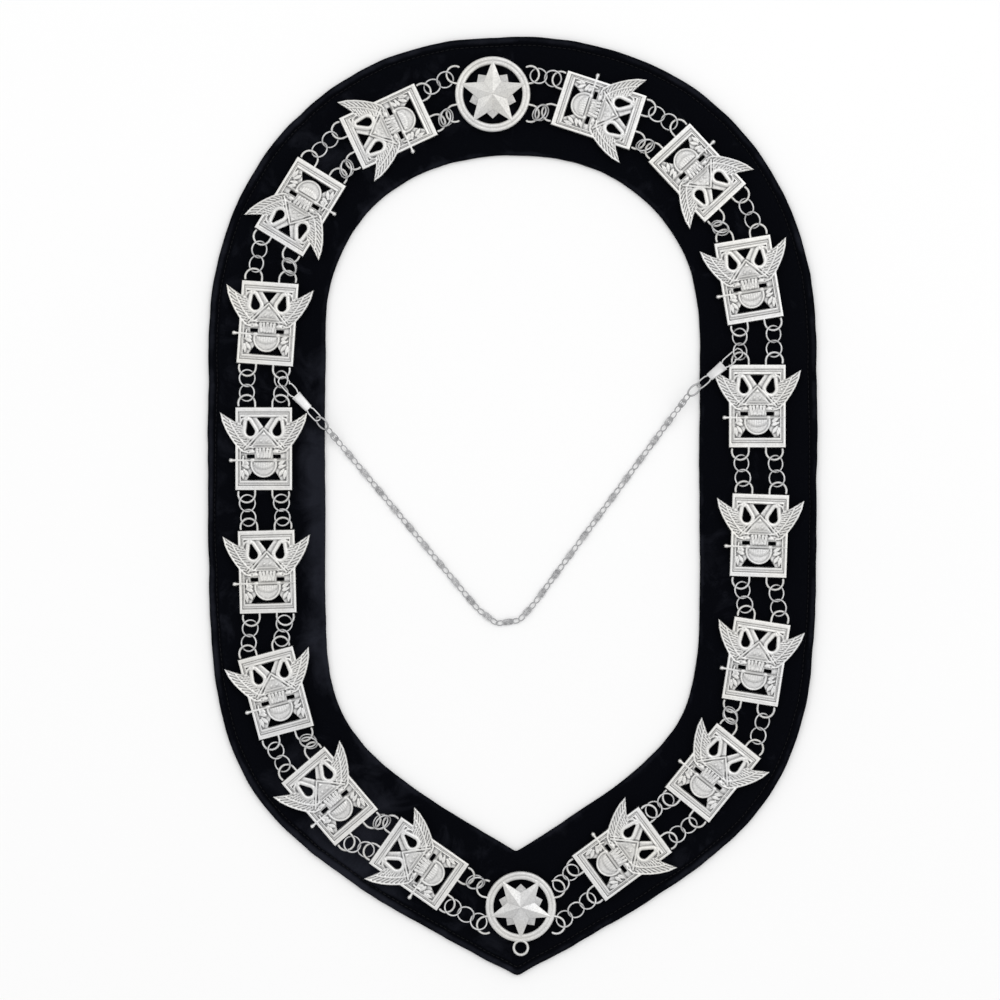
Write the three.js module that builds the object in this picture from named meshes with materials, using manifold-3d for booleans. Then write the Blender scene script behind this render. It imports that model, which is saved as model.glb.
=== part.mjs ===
import * as THREE from 'three';
import { mergeVertices } from 'three/addons/utils/BufferGeometryUtils.js';
import Module from 'manifold-3d';

// Ceremonial chain collar: a velvet band laid flat, with a silver chain of eagle plaques on it.
// Millimetres, +Z up, +Y towards the nape, seen from above as it lies.

// Velvet band
const velvetThickness = 3;
const velvetEdgeRound = 1.1;

// Cast plaque: its rectangular frame, without wings and hooks
const plaqueLength = 53.4;
const plaqueWidth = 36.4;
const endBarWidth = 6.4;
const sideBarWidth = 3.7;
const frameDepth = 3.2;
const frameRimRise = 0.7;
const eagleDepth = 2.4;
const eagleRise = 0.2;
const discRadius = 8.6;
const discRise = 0.5;
const hiltWidth = 2.4;
const hiltReach = 3.2;

// Star medallions
const napeMedallionRadius = 24.2;
const frontMedallionRadius = 22.7;
const medallionRimWidth = 5.3;
const starPeakRise = 2.2;

// Cast hooks and free jump rings
const hookRadius = 5.4;
const hookWire = 1.5;
const hookStandoff = 2.3;
const hookSpacing = 21.8;
const ringRadius = 5.3;
const ringWire = 1.15;
const ringSides = 10;
const wireSides = 5;
const jewelRingRadius = 4.5;
const jewelRingWire = 1.8;

// Clips and cross chain
const clipWire = 1;
const clipSleeveLength = 12;
const clipSleeveWidth = 6;
const clipSleeveNarrow = 4.6;
const clipSleeveDepth = 1.8;
const clipBigLoop = 15;
const clipBigLoopWidth = 6.8;
const clipSmallLoop = 9.6;
const clipSmallLoopWidth = 5.4;
const endRingLength = 11;
const endRingWidth = 7.8;
const endRingWire = 1.2;
const endRingOverlap = 2.6;
const crossChainWidth = 3.2;
const chainFlat = 20;

// Fits between pieces
const wireGap = 0.22;
const contactOverlap = 0.2;
const chainGap = 0.15;

// The plane of the hooks' wire is high enough that the leaning rings clear the velvet
const plaqueGap = 25.1;
const ringClearance = 4;
const hookHeightInFrame = 0.74;

const stationPitch = plaqueLength + plaqueGap;
const hookPlane = velvetThickness + ringClearance;
const frameBack = hookPlane - hookHeightInFrame * frameDepth;
const frameTop = frameBack + frameDepth;
const eagleTop = frameTop + eagleRise;
const eagleBack = eagleTop - eagleDepth;

// Where each casting lies, in shares of the station pitch, read off the laid-out collar.
// The turn is in degrees, counter-clockwise from above, of the side where the eagle's heads are.
const stations = [
  { name: 'medallion_nape', x: -0.161, y: 3.363, turn: 0 },
  { name: 'plaque_left_1', x: -1.011, y: 3.098, turn: 115 },
  { name: 'plaque_left_2', x: -1.73, y: 2.445, turn: 148.5 },
  { name: 'plaque_left_3', x: -1.997, y: 1.493, turn: -4 },
  { name: 'plaque_left_4', x: -2.028, y: 0.471, turn: 0 },
  { name: 'plaque_left_5', x: -2, y: -0.532, turn: 1.5 },
  { name: 'plaque_left_6', x: -1.929, y: -1.521, turn: 15 },
  { name: 'plaque_left_7', x: -1.49, y: -2.362, turn: 40.5 },
  { name: 'plaque_left_8', x: -0.763, y: -2.913, turn: 55 },
  { name: 'medallion_front', x: 0.068, y: -3.264, turn: 0 },
  { name: 'plaque_right_8', x: 0.893, y: -2.833, turn: -53.6 },
  { name: 'plaque_right_7', x: 1.634, y: -2.171, turn: -39 },
  { name: 'plaque_right_6', x: 1.986, y: -1.265, turn: -9 },
  { name: 'plaque_right_5', x: 2.013, y: -0.237, turn: -2 },
  { name: 'plaque_right_4', x: 1.996, y: 0.819, turn: 0 },
  { name: 'plaque_right_3', x: 1.927, y: 1.847, turn: 9.5 },
  { name: 'plaque_right_2', x: 1.506, y: 2.721, turn: -137 },
  { name: 'plaque_right_1', x: 0.703, y: 3.231, turn: -108 },
];

// The two edges of the velvet on one side of the collar, in shares of the station pitch: an arch
// over the nape, a straight side, and a curve whose two handles lead it to the point at the front.
// The point lies a little to the right, by tipShift, which fades upwards with the power tipFade.
const velvetEdges = {
  outer: { halfWidth: 2.487, archY: 1.227, archRise: 2.609, sideEnd: 0.053,
    sideHandle: -2.262, tipHandleX: 2.397, tipHandleY: -2.574, tip: -3.836, tipShift: 0.04, tipFade: 4 },
  inner: { halfWidth: 1.529, archY: 1.39, archRise: 1.476, sideEnd: -0.762,
    sideHandle: -1.806, tipHandleX: 1.37, tipHandleY: -1.995, tip: -2.817, tipShift: 0.03, tipFade: 8 },
};

// The clips hang on the inner strands of these two gaps. The heading is the way that a clip's big
// loop points, and the cross chain dips to its lowest place between them, in shares of the pitch.
const clips = [
  { name: 'clip_left', strand: 'rings_inner_04', heading: 133, roll: 12, rise: 3 },
  { name: 'clip_right', strand: 'rings_inner_15', heading: 40, roll: -12, rise: -2 },
];
const chainDip = { x: -0.064, y: -0.948 };

// How far the rings of a strand lean, in shares of the room that a ring needs over a hook
const strandLean = { spread: 1.2, nestedRoll: 1.75, nestedPitch: 1.9, nestedDrop: 0.3, atClip: -1.5 };

// Two rings reach between hooks whose middles are this many ring radii from the nearest ring's
// middle, and below the second share of two ring diameters they lie nested.
const pairReach = 1.69;
const nestedShare = 1.65;

// Height of the cross chain from a clip to the dip: a share of the way, and the share of the
// clip's height that is left there
const chainDrop = [
  { share: 0.06, height: 0.42 },
  { share: 0.12, height: 0.1 },
  { share: 0.2, height: 0 },
  { share: 0.5, height: 0 },
  { share: 0.93, height: 0 },
];

const wasm = await Module();
wasm.setup();

const silver = { color: 0xd9dadb, roughness: 0.28, metalness: 1 };
const velvet = { color: 0x0b0c14, roughness: 0.95, metalness: 0 };
const degrees = Math.PI / 180;

// Solids and meshes

function toSolid(geometry) {
  const bare = geometry.clone();
  for (const name of Object.keys(bare.attributes)) {
    if (name !== 'position') bare.deleteAttribute(name);
  }
  const merged = mergeVertices(bare, 1e-4);
  return new wasm.Manifold(new wasm.Mesh({
    numProp: 3,
    vertProperties: new Float32Array(merged.attributes.position.array),
    triVerts: new Uint32Array(merged.index.array),
  }));
}

function toGeometry(solid) {
  const mesh = solid.getMesh();
  const geometry = new THREE.BufferGeometry();
  const positions = new Float32Array(mesh.numVert * 3);
  for (let i = 0; i < mesh.numVert; i += 1) {
    for (let k = 0; k < 3; k += 1) positions[3 * i + k] = mesh.vertProperties[mesh.numProp * i + k];
  }
  geometry.setAttribute('position', new THREE.BufferAttribute(positions, 3));
  geometry.setIndex(new THREE.BufferAttribute(new Uint32Array(mesh.triVerts), 1));
  geometry.computeVertexNormals();
  return geometry;
}

function fuse(geometries) {
  return toGeometry(geometries.map(toSolid).reduce((whole, next) => whole.add(next)));
}

function indexedGeometry(points, faces) {
  const geometry = new THREE.BufferGeometry();
  const flat = points.flatMap((p) => [p.x, p.y, p.z]);
  geometry.setAttribute('position', new THREE.Float32BufferAttribute(flat, 3));
  geometry.setIndex(faces.flat());
  return geometry;
}

// A wire of even section along a flat path. Corners are mitred in the plane of the path,
// and one edge of the section points to the inside of the bend.
function wireAlong(path, { radius, closed = false, sides = wireSides }) {
  const up = new THREE.Vector3(0, 0, 1);
  const count = path.length;
  const points = [];
  for (let i = 0; i < count; i += 1) {
    const before = path[closed ? (i + count - 1) % count : Math.max(i - 1, 0)];
    const after = path[closed ? (i + 1) % count : Math.min(i + 1, count - 1)];
    const into = path[i].clone().sub(before).normalize();
    const out = after.clone().sub(path[i]).normalize();
    if (into.lengthSq() === 0) into.copy(out);
    if (out.lengthSq() === 0) out.copy(into);
    const along = into.clone().add(out).normalize();
    const across = along.clone().cross(up);
    const stretch = 1 / Math.max(along.dot(out), 0.2);
    for (let k = 0; k < sides; k += 1) {
      const angle = Math.PI + (k * 2 * Math.PI) / sides;
      points.push(path[i].clone()
        .addScaledVector(across, radius * Math.cos(angle) * stretch)
        .addScaledVector(up, radius * Math.sin(angle)));
    }
  }
  const faces = [];
  const spans = closed ? count : count - 1;
  for (let i = 0; i < spans; i += 1) {
    const here = i * sides;
    const next = ((i + 1) % count) * sides;
    for (let k = 0; k < sides; k += 1) {
      const kk = (k + 1) % sides;
      faces.push([here + k, next + kk, here + kk], [here + k, next + k, next + kk]);
    }
  }
  if (!closed) {
    const last = (count - 1) * sides;
    for (let k = 1; k < sides - 1; k += 1) {
      faces.push([0, k, k + 1], [last, last + k + 1, last + k]);
    }
  }
  return indexedGeometry(points, faces);
}

function prism(outline, bottom, top) {
  const shape = new THREE.Shape(outline.map(([x, y]) => new THREE.Vector2(x, y)));
  const geometry = new THREE.ExtrudeGeometry(shape, { depth: top - bottom, bevelEnabled: false });
  return geometry.translate(0, 0, bottom);
}

function cutThrough(body, holes) {
  return toGeometry(holes.map(toSolid).reduce((left, hole) => left.subtract(hole), toSolid(body)));
}

// A closed strip: each ring of points is one turn of the loop, and neighbouring rings are joined.
function loopStrip(rings) {
  const count = rings[0].length;
  const faces = [];
  rings.forEach((ring, j) => {
    const here = j * count;
    const next = ((j + 1) % rings.length) * count;
    for (let i = 0; i < count; i += 1) {
      const ii = (i + 1) % count;
      faces.push([here + i, here + ii, next + ii], [here + i, next + ii, next + i]);
    }
  });
  return indexedGeometry(rings.flat(), faces);
}

const named = new Map();
const collar = new THREE.Group();

function addPiece(name, geometry, look) {
  const mesh = new THREE.Mesh(geometry, new THREE.MeshStandardMaterial(look));
  mesh.name = name;
  named.set(name, mesh);
  collar.add(mesh);
  return mesh;
}

// Velvet band

function halfEdge({ halfWidth, archY, archRise, sideEnd, sideHandle, tipHandleX, tipHandleY, tip }) {
  const roundness = 2 / 2.2;
  const archSteps = 7;
  const points = [];
  for (let i = 0; i <= archSteps; i += 1) {
    const a = (i * Math.PI) / (2 * archSteps);
    const x = halfWidth * Math.sin(a) ** roundness;
    const y = archY + archRise * Math.cos(a) ** roundness;
    points.push(new THREE.Vector2(x, y));
  }
  points[archSteps].x = halfWidth;
  points[archSteps].y = archY;
  const lower = new THREE.CubicBezierCurve(
    new THREE.Vector2(halfWidth, sideEnd),
    new THREE.Vector2(halfWidth, sideHandle),
    new THREE.Vector2(tipHandleX, tipHandleY),
    new THREE.Vector2(0, tip),
  );
  points.push(...lower.getPoints(9));
  return points.map((p) => p.multiplyScalar(stationPitch));
}

function fullEdge(edge) {
  const right = halfEdge(edge);
  const left = right.slice(1, -1).map((p) => new THREE.Vector2(-p.x, p.y));
  return [...left, ...right.reverse()].map((p) => {
    const down = Math.max(p.y / (edge.tip * stationPitch), 0);
    return p.setX(p.x + edge.tipShift * stationPitch * down ** edge.tipFade);
  });
}

function velvetBand() {
  const outer = fullEdge(velvetEdges.outer);
  const inner = fullEdge(velvetEdges.inner);
  const width = (velvetEdges.outer.halfWidth - velvetEdges.inner.halfWidth) * stationPitch;
  const round = velvetEdgeRound / width;
  const section = [[round, 0], [0, 0.5], [round, 1], [1 - round, 1], [1, 0.5], [1 - round, 0]];
  return loopStrip(section.map(([across, up]) => outer.map((p, i) => {
    const q = p.clone().lerp(inner[i], across);
    return new THREE.Vector3(q.x, q.y, up * velvetThickness);
  })));
}

addPiece('velvet_band', velvetBand(), velvet);

// Plaque

const mirror = (points) => points.map(([x, y]) => [-x, y]).reverse();

function plaqueFrame() {
  const halfWidth = plaqueWidth / 2;
  const halfLength = plaqueLength / 2;
  const profile = [[0, frameBack], [0, frameTop], [1, frameTop - frameRimRise], [1, frameBack]];
  const rings = profile.map(([share, z]) => {
    const x = halfWidth - share * sideBarWidth;
    const y = halfLength - share * endBarWidth;
    return [[x, y], [-x, y], [-x, -y], [x, -y]].map(([px, py]) => new THREE.Vector3(px, py, z));
  });
  return loopStrip(rings);
}

function eaglePlate() {
  const wide = plaqueWidth / 2;
  const long = plaqueLength / 2;
  const inBar = wide - 0.6 * sideBarWidth;
  const inEnd = long - 0.8 * endBarWidth;
  const hollowTop = -(long - endBarWidth) * 0.77;
  const rightSide = [
    [0.26 * wide, inEnd],
    [inBar, inEnd],
    [inBar, 0.58 * long],
    [1.53 * wide, 0.85 * long],
    [1.38 * wide, 0.45 * long],
    [inBar, -0.02 * long],
    [inBar, -inEnd],
    [0.57 * wide, -inEnd],
    [0.42 * wide, hollowTop],
  ];
  const discBottom = [0, -0.373 * long - discRadius];
  const notch = [0, 0.51 * long];
  const leftSide = mirror(rightSide);
  const hiltStart = leftSide.findIndex(([x, y]) => x === -inBar && y === -0.02 * long);
  const hiltY = -0.27 * long;
  const hilt = [[-inBar, -0.5], [-wide - hiltReach, -0.5], [-wide - hiltReach, 0.5], [-inBar, 0.5]]
    .map(([x, side]) => [x, hiltY + side * hiltWidth]);
  leftSide.splice(hiltStart, 0, ...hilt);
  const outline = [notch, ...rightSide, discBottom, ...leftSide].reverse();
  const headHole = [[0.6, 0.65], [0.62, 0.5], [0.5, 0.3], [0.34, 0.32], [0.36, 0.5]]
    .map(([x, y]) => [x * wide, y * long]);
  const slot = [[0.6, -0.145], [0.6, -0.225], [0.34, -0.225], [0.34, -0.145]]
    .map(([x, y]) => [x * wide, y * long]);
  const cutters = [headHole, mirror(headHole), slot, mirror(slot)]
    .map((hole) => prism(hole, eagleBack - 1, eagleTop + 1));
  return cutThrough(prism(outline, eagleBack, eagleTop), cutters);
}

function raisedDisc() {
  const disc = new THREE.ConeGeometry(discRadius, 2 * discRise, 8);
  disc.rotateX(Math.PI / 2);
  return disc.translate(0, -0.373 * plaqueLength / 2, eagleTop + 0.8 * discRise);
}

// A cast C hook: its leg starts inside the casting on the side of the centreline, and its
// free end stops short of the casting's edge. It opens towards -Y and bends round its own centre.
function hookWireAt(x, y, towards, turn, legLength) {
  const path = [];
  const reach = 1.04 * hookRadius;
  for (const angle of [-104, -55, -6, 43, 90]) {
    const a = angle * degrees;
    path.push(new THREE.Vector3(towards * reach * Math.sin(a), reach * Math.cos(a), 0));
  }
  path.push(new THREE.Vector3(towards * reach, -legLength, 0));
  if (towards > 0) path.reverse();
  const hook = wireAlong(path, { radius: hookWire / 2, sides: 4 });
  return hook.rotateZ(turn * degrees).translate(x, y, hookPlane);
}

function plaqueHooks() {
  const y = plaqueLength / 2 + hookStandoff;
  const x = hookSpacing / 2;
  const leg = hookStandoff + 0.4 * endBarWidth;
  return [
    { x, y, towards: -1, turn: 0, leg },
    { x: -x, y, towards: 1, turn: 0, leg },
    { x, y: -y, towards: 1, turn: 180, leg },
    { x: -x, y: -y, towards: -1, turn: 180, leg },
  ];
}

const buildHook = (hook) => hookWireAt(hook.x, hook.y, hook.towards, hook.turn, hook.leg);

function plaqueGeometry() {
  return fuse([plaqueFrame(), eaglePlate(), raisedDisc(), ...plaqueHooks().map(buildHook)]);
}

// Medallion

function medallionHooks(radius) {
  const x = radius;
  const y = 0.515 * radius;
  const leg = 0.35 * hookRadius + 0.3 * medallionRimWidth;
  return [
    { x, y, towards: 1, turn: -78, leg },
    { x, y: -y, towards: -1, turn: -102, leg },
    { x: -x, y, towards: -1, turn: 78, leg },
    { x: -x, y: -y, towards: 1, turn: 102, leg },
  ];
}

function medallionRim(radius) {
  const sides = 20;
  const profile = [[0, frameBack], [0, frameTop], [0.5, frameTop],
    [1, frameTop - frameRimRise], [1, frameBack]];
  const rings = profile.map(([share, z]) => Array.from({ length: sides }, (_, i) => {
    const a = (i * 2 * Math.PI) / sides;
    const r = radius - share * medallionRimWidth;
    return new THREE.Vector3(r * Math.cos(a), r * Math.sin(a), z);
  }));
  return loopStrip(rings);
}

function starSolid(radius, pointUp) {
  const outline = [];
  for (let i = 0; i < 20; i += 1) {
    const a = (i * 18 + (pointUp ? 90 : -90)) * degrees;
    const share = i % 4 === 0 ? 0.9 : i % 4 === 2 ? 0.645 : 0.5;
    outline.push([share * radius * Math.cos(a), share * radius * Math.sin(a)]);
  }
  const base = outline.map(([x, y]) => new THREE.Vector3(x, y, eagleBack));
  const top = outline.map(([x, y], i) => {
    const low = i % 4 === 0 ? 0 : -0.4;
    return new THREE.Vector3(x, y, frameTop + low);
  });
  const points = [...base, ...top, new THREE.Vector3(0, 0, frameTop + starPeakRise),
    new THREE.Vector3(0, 0, eagleBack)];
  const faces = [];
  for (let i = 0; i < 20; i += 1) {
    const ii = (i + 1) % 20;
    faces.push([i, ii, 20 + ii], [i, 20 + ii, 20 + i], [20 + i, 20 + ii, 40], [ii, i, 41]);
  }
  return indexedGeometry(points, faces);
}

function jewelRing(radius) {
  const path = circlePath(1.03 * jewelRingRadius, 10, 90);
  const ring = wireAlong(path, { radius: jewelRingWire / 2, closed: true });
  return ring.translate(0, -radius - jewelRingRadius + 0.6 * jewelRingWire, hookPlane);
}

function circlePath(radius, sides, start = 0) {
  return Array.from({ length: sides }, (_, i) => {
    const a = start * degrees + (i * 2 * Math.PI) / sides;
    return new THREE.Vector3(radius * Math.cos(a), radius * Math.sin(a), 0);
  });
}

function medallionGeometry(radius, pointUp) {
  const pieces = [medallionRim(radius), starSolid(radius, pointUp),
    ...medallionHooks(radius).map(buildHook)];
  if (!pointUp) pieces.push(jewelRing(radius));
  return fuse(pieces);
}

// Castings at their stations

const plaqueShared = plaqueGeometry();

function stationGeometry(station) {
  if (station.name === 'medallion_nape') return medallionGeometry(napeMedallionRadius, true);
  if (station.name === 'medallion_front') return medallionGeometry(frontMedallionRadius, false);
  return plaqueShared;
}

function stationHooks(station) {
  if (station.name === 'medallion_nape') return medallionHooks(napeMedallionRadius);
  if (station.name === 'medallion_front') return medallionHooks(frontMedallionRadius);
  return plaqueHooks();
}

for (const station of stations) {
  const mesh = addPiece(station.name, stationGeometry(station), silver);
  mesh.position.set(station.x * stationPitch, station.y * stationPitch, 0);
  mesh.rotation.z = station.turn * degrees;
}

// Free rings between two facing hooks

function hookCentres(station) {
  const mesh = named.get(station.name);
  mesh.updateMatrixWorld();
  return stationHooks(station)
    .map(({ x, y }) => new THREE.Vector3(x, y, 0).applyMatrix4(mesh.matrixWorld));
}

const meanToCorner = 2 / (1 + Math.cos(Math.PI / ringSides));
const ringCorner = ringRadius * meanToCorner;
const ringFlat = ringCorner * Math.cos(Math.PI / ringSides);
const hookNeed = ringWire / 2 + hookWire / 2 + wireGap;

// Rings of a long strand are pulled apart until their inner sides touch. Rings of a short one
// lie almost one over the other, leaning together over the hooks.
const spreadStep = 2 * ringFlat - ringWire + contactOverlap;
const fromRingToHook = (span, count) => (span - (count - 1) * spreadStep) / 2;

function spreadStrand(span, count, lean) {
  const toHook = fromRingToHook(span, count);
  const halfLens = Math.sqrt(ringRadius ** 2 - (toHook / 2) ** 2);
  const tilt = lean * Math.atan((strandLean.spread * hookNeed) / halfLens);
  return Array.from({ length: count }, (_, i) => ({
    along: toHook + i * spreadStep, lift: 0, axis: 0, tilt: i % 2 ? tilt : -tilt,
  }));
}

function nestedStrand(span) {
  let step = ringWire;
  let tilt = 0;
  let lift = 0;
  let axis = 0;
  for (let pass = 0; pass < 6; pass += 1) {
    const near = (span - step) / 2;
    const far = (span + step) / 2;
    const nearLens = Math.sqrt(ringRadius ** 2 - (near / 2) ** 2);
    const farLens = Math.sqrt(Math.max(ringRadius ** 2 - (far / 2) ** 2, 0));
    const roll = (strandLean.nestedRoll * hookNeed) / nearLens;
    const pitch = (strandLean.nestedPitch * hookNeed + roll * farLens) / (span / 2);
    axis = Math.atan2(pitch, roll);
    tilt = Math.atan(Math.hypot(roll, pitch));
    lift = (pitch * near) / 2 - strandLean.nestedDrop * hookNeed;
    step = (ringWire - contactOverlap) / Math.cos(axis);
  }
  return [
    { along: (span - step) / 2, lift, axis, tilt: -tilt },
    { along: (span + step) / 2, lift, axis, tilt },
  ];
}

function placeRing(ring, from, direction) {
  const path = circlePath(ringCorner, ringSides, 180 / ringSides);
  const geometry = wireAlong(path, { radius: ringWire / 2, closed: true });
  geometry.rotateX(ring.tilt).rotateZ(ring.axis + Math.atan2(direction.y, direction.x));
  const centre = from.clone().addScaledVector(direction, ring.along);
  return geometry.translate(centre.x, centre.y, hookPlane + ring.lift);
}

const firstRings = new Map();

function addStrand(name, from, to, leastRings) {
  const direction = to.clone().sub(from);
  const span = direction.length();
  direction.normalize();
  const count = fromRingToHook(span, 2) > pairReach * ringRadius ? 3 : leastRings;
  const lean = clips.some((clip) => clip.strand === name) ? strandLean.atClip : 1;
  const nested = span < nestedShare * 2 * ringRadius;
  const rings = nested ? nestedStrand(span) : spreadStrand(span, count, lean);
  addPiece(name, fuse(rings.map((ring) => placeRing(ring, from, direction))), silver);
  firstRings.set(name, from.clone().addScaledVector(direction, rings[0].along));
}

function nearestTwo(centres, target) {
  return [...centres].sort((a, b) => a.distanceTo(target) - b.distanceTo(target)).slice(0, 2);
}

// Each gap has an outer and an inner strand. The outer ones beside the front medallion have
// three rings though two would reach.
const heart = new THREE.Vector3(0, 0, 0);
stations.forEach((station, i) => {
  const next = stations[(i + 1) % stations.length];
  const here = named.get(station.name).position;
  const there = named.get(next.name).position;
  const byHeart = (a, b) => b.distanceTo(heart) - a.distanceTo(heart);
  const starts = nearestTwo(hookCentres(station), there).sort(byHeart);
  const ends = nearestTwo(hookCentres(next), here).sort(byHeart);
  const gap = String(i + 1).padStart(2, '0');
  const atFront = station.name === 'medallion_front' || next.name === 'medallion_front';
  addStrand(`rings_outer_${gap}`, starts[0], ends[0], atFront ? 3 : 2);
  addStrand(`rings_inner_${gap}`, starts[1], ends[1], 2);
});

// Wire clips: a folded sleeve with a big loop that holds a ring and a small loop for the chain

function loopPath(start, length, halfStart, halfWidth, way) {
  const bend = start + way * (length - halfWidth);
  const path = [new THREE.Vector3(start - way * 2, -way * halfStart, 0)];
  path.push(new THREE.Vector3(start + way * halfWidth, -way * halfWidth, 0));
  for (const angle of [-80, -40, 0, 40, 80]) {
    const a = angle * degrees;
    const x = bend + way * halfWidth * Math.cos(a);
    path.push(new THREE.Vector3(x, way * halfWidth * Math.sin(a), 0));
  }
  path.push(new THREE.Vector3(start + way * halfWidth, way * halfWidth, 0));
  path.push(new THREE.Vector3(start - way * 2, way * halfStart, 0));
  return path;
}

function clipGeometry() {
  const half = clipSleeveLength / 2;
  const outline = [[half, -clipSleeveWidth / 2], [half, clipSleeveWidth / 2],
    [-half, clipSleeveNarrow / 2], [-half, -clipSleeveNarrow / 2]];
  const sleeve = prism(outline, -clipSleeveDepth / 2, clipSleeveDepth / 2);
  const bigHalf = (clipBigLoopWidth - clipWire) / 2;
  const smallHalf = (clipSmallLoopWidth - clipWire) / 2;
  const big = loopPath(half, clipBigLoop, 0.3 * clipSleeveWidth, bigHalf, 1);
  const small = loopPath(-half, clipSmallLoop, 0.3 * clipSleeveNarrow, smallHalf, -1);
  return fuse([sleeve, ...[big, small].map((path) => wireAlong(path, { radius: clipWire / 2 }))]);
}

// The big loop's end lies past the middle of the ring that it holds, over the ring's wire.
const clipLift = 2;
const clipPivot = 3;
const clipShared = clipGeometry();
const chainEnds = [];
for (const clip of clips) {
  const mesh = addPiece(clip.name, clipShared, silver);
  const ring = firstRings.get(clip.strand);
  const heading = clip.heading * degrees;
  const reach = clipSleeveLength / 2 + clipBigLoop - 0.15 * clipBigLoopWidth;
  mesh.rotation.set(clip.roll * degrees, -clip.rise * degrees, heading, 'ZYX');
  mesh.position.set(ring.x - reach * Math.cos(heading), ring.y - reach * Math.sin(heading), 0);
  mesh.position.z = hookPlane + clipLift - (reach - clipPivot) * Math.sin(clip.rise * degrees);
  mesh.updateMatrixWorld();
  const smallEnd = new THREE.Vector3(-clipSleeveLength / 2 - clipSmallLoop, 0, 0);
  smallEnd.applyMatrix4(mesh.matrixWorld);
  const away = new THREE.Vector3(-Math.cos(heading), -Math.sin(heading), 0);
  chainEnds.push({ place: smallEnd, away, heading, side: Math.sign(clip.roll) });
}

// Cross chain: it leaves an oval ring on each clip, drops to the surface and lies in a V whose
// lowest part is flat. Its two halves meet in the middle of that part.

function endRing({ place, away, heading, side }) {
  const halfLength = (endRingLength - endRingWire) / 2;
  const halfWidth = (endRingWidth - endRingWire) / 2;
  const path = circlePath(1, 12).map((p) => p.set(halfLength * p.x, halfWidth * p.y, 0));
  const ring = wireAlong(path, { radius: endRingWire / 2, closed: true });
  const centre = place.clone().addScaledVector(away, endRingLength / 2 - endRingOverlap);
  const tilt = -38 * side * degrees;
  return ring.rotateX(tilt).rotateZ(heading).translate(centre.x, centre.y, centre.z);
}

function chainHalf(end, side) {
  const rest = crossChainWidth / 2 + contactOverlap;
  const start = end.place.clone();
  start.addScaledVector(end.away, endRingLength - endRingOverlap - endRingWire + contactOverlap);
  const dip = new THREE.Vector3(chainDip.x * stationPitch, chainDip.y * stationPitch, rest);
  const corner = dip.clone().setX(dip.x + (side * chainFlat) / 2);
  const stop = dip.clone().setX(dip.x + (side * chainGap) / 2);
  const way = chainDrop.map(({ share, height }) => (
    start.clone().lerp(corner, share).setZ(rest + height * (start.z - rest))));
  const route = new THREE.CatmullRomCurve3([start, ...way, corner, stop], false, 'centripetal');
  const section = circlePath(crossChainWidth / 2, 6).map((p) => new THREE.Vector2(p.x, p.y));
  const tube = new THREE.ExtrudeGeometry(new THREE.Shape(section), {
    steps: 22, extrudePath: route, bevelEnabled: false,
  });
  return fuse([tube, endRing(end)]);
}

addPiece('cross_chain_left', chainHalf(chainEnds[0], -1), silver);
addPiece('cross_chain_right', chainHalf(chainEnds[1], 1), silver);

export default collar;
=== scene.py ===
"""Ceremonial chain collar, laid flat: a velvet band under a silver chain of cast eagle plaques."""

import math

import bmesh
import bpy
import numpy as np
from mathutils import Matrix, Vector, noise


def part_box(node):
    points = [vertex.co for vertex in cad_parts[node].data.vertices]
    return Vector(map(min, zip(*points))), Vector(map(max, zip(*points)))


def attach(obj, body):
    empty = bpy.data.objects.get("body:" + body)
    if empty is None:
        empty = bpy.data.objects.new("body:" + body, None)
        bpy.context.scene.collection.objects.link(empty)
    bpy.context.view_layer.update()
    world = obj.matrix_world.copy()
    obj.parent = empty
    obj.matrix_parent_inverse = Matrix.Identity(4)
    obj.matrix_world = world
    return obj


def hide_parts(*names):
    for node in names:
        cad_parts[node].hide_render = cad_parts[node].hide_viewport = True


bl_info = {
    "name": "Chain collar",
    "version": (1, 0, 0),
    "blender": (4, 5, 0),
    "location": "View3D > Sidebar > Collar",
    "description": "Dresses the frame of a ceremonial chain collar with velvet, castings and chain",
    "category": "Object",
}

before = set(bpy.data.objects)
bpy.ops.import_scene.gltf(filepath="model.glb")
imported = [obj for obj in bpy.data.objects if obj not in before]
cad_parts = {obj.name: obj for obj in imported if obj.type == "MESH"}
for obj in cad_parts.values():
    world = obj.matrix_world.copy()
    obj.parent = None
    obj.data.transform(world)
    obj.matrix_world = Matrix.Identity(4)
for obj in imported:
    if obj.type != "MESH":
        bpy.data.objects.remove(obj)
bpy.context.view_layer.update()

# The pieces are modelled in millimetres, as the frame's source is, and scaled when a mesh is made.
MM = 0.001

# The velvet's two edges on one side of the collar, in shares of the station pitch. The tip's shift
# moves the lower edge to the right by a share that fades upwards.
OUTER_EDGE = dict(half_width=2.487, arch_y=1.227, arch_rise=2.609, side_end=0.053,
                  side_handle=-2.262, tip_handle=(2.397, -2.574), tip=-3.836,
                  tip_shift=0.04, tip_fade=4)
INNER_EDGE = dict(half_width=1.529, arch_y=1.39, arch_rise=1.476, side_end=-0.762,
                  side_handle=-1.806, tip_handle=(1.37, -1.995), tip=-2.817,
                  tip_shift=0.03, tip_fade=8)

VELVET_LOW, VELVET_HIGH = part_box("velvet_band")
THICKNESS = (VELVET_HIGH.z - VELVET_LOW.z) / MM
PITCH = (VELVET_HIGH.x - VELVET_LOW.x) / MM / 2 / OUTER_EDGE["half_width"]

# The plane of the hooks' wire lies high enough that the leaning rings clear the velvet.
RING_CLEARANCE = 4.0
HOOK_PLANE = VELVET_HIGH.z / MM + RING_CLEARANCE
FRAME_DEPTH = 3.2
HOOK_HEIGHT_IN_FRAME = 0.74
FRAME_BACK = HOOK_PLANE - HOOK_HEIGHT_IN_FRAME * FRAME_DEPTH
WIRE_GAP = 0.22
CONTACT_OVERLAP = 0.2

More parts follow.
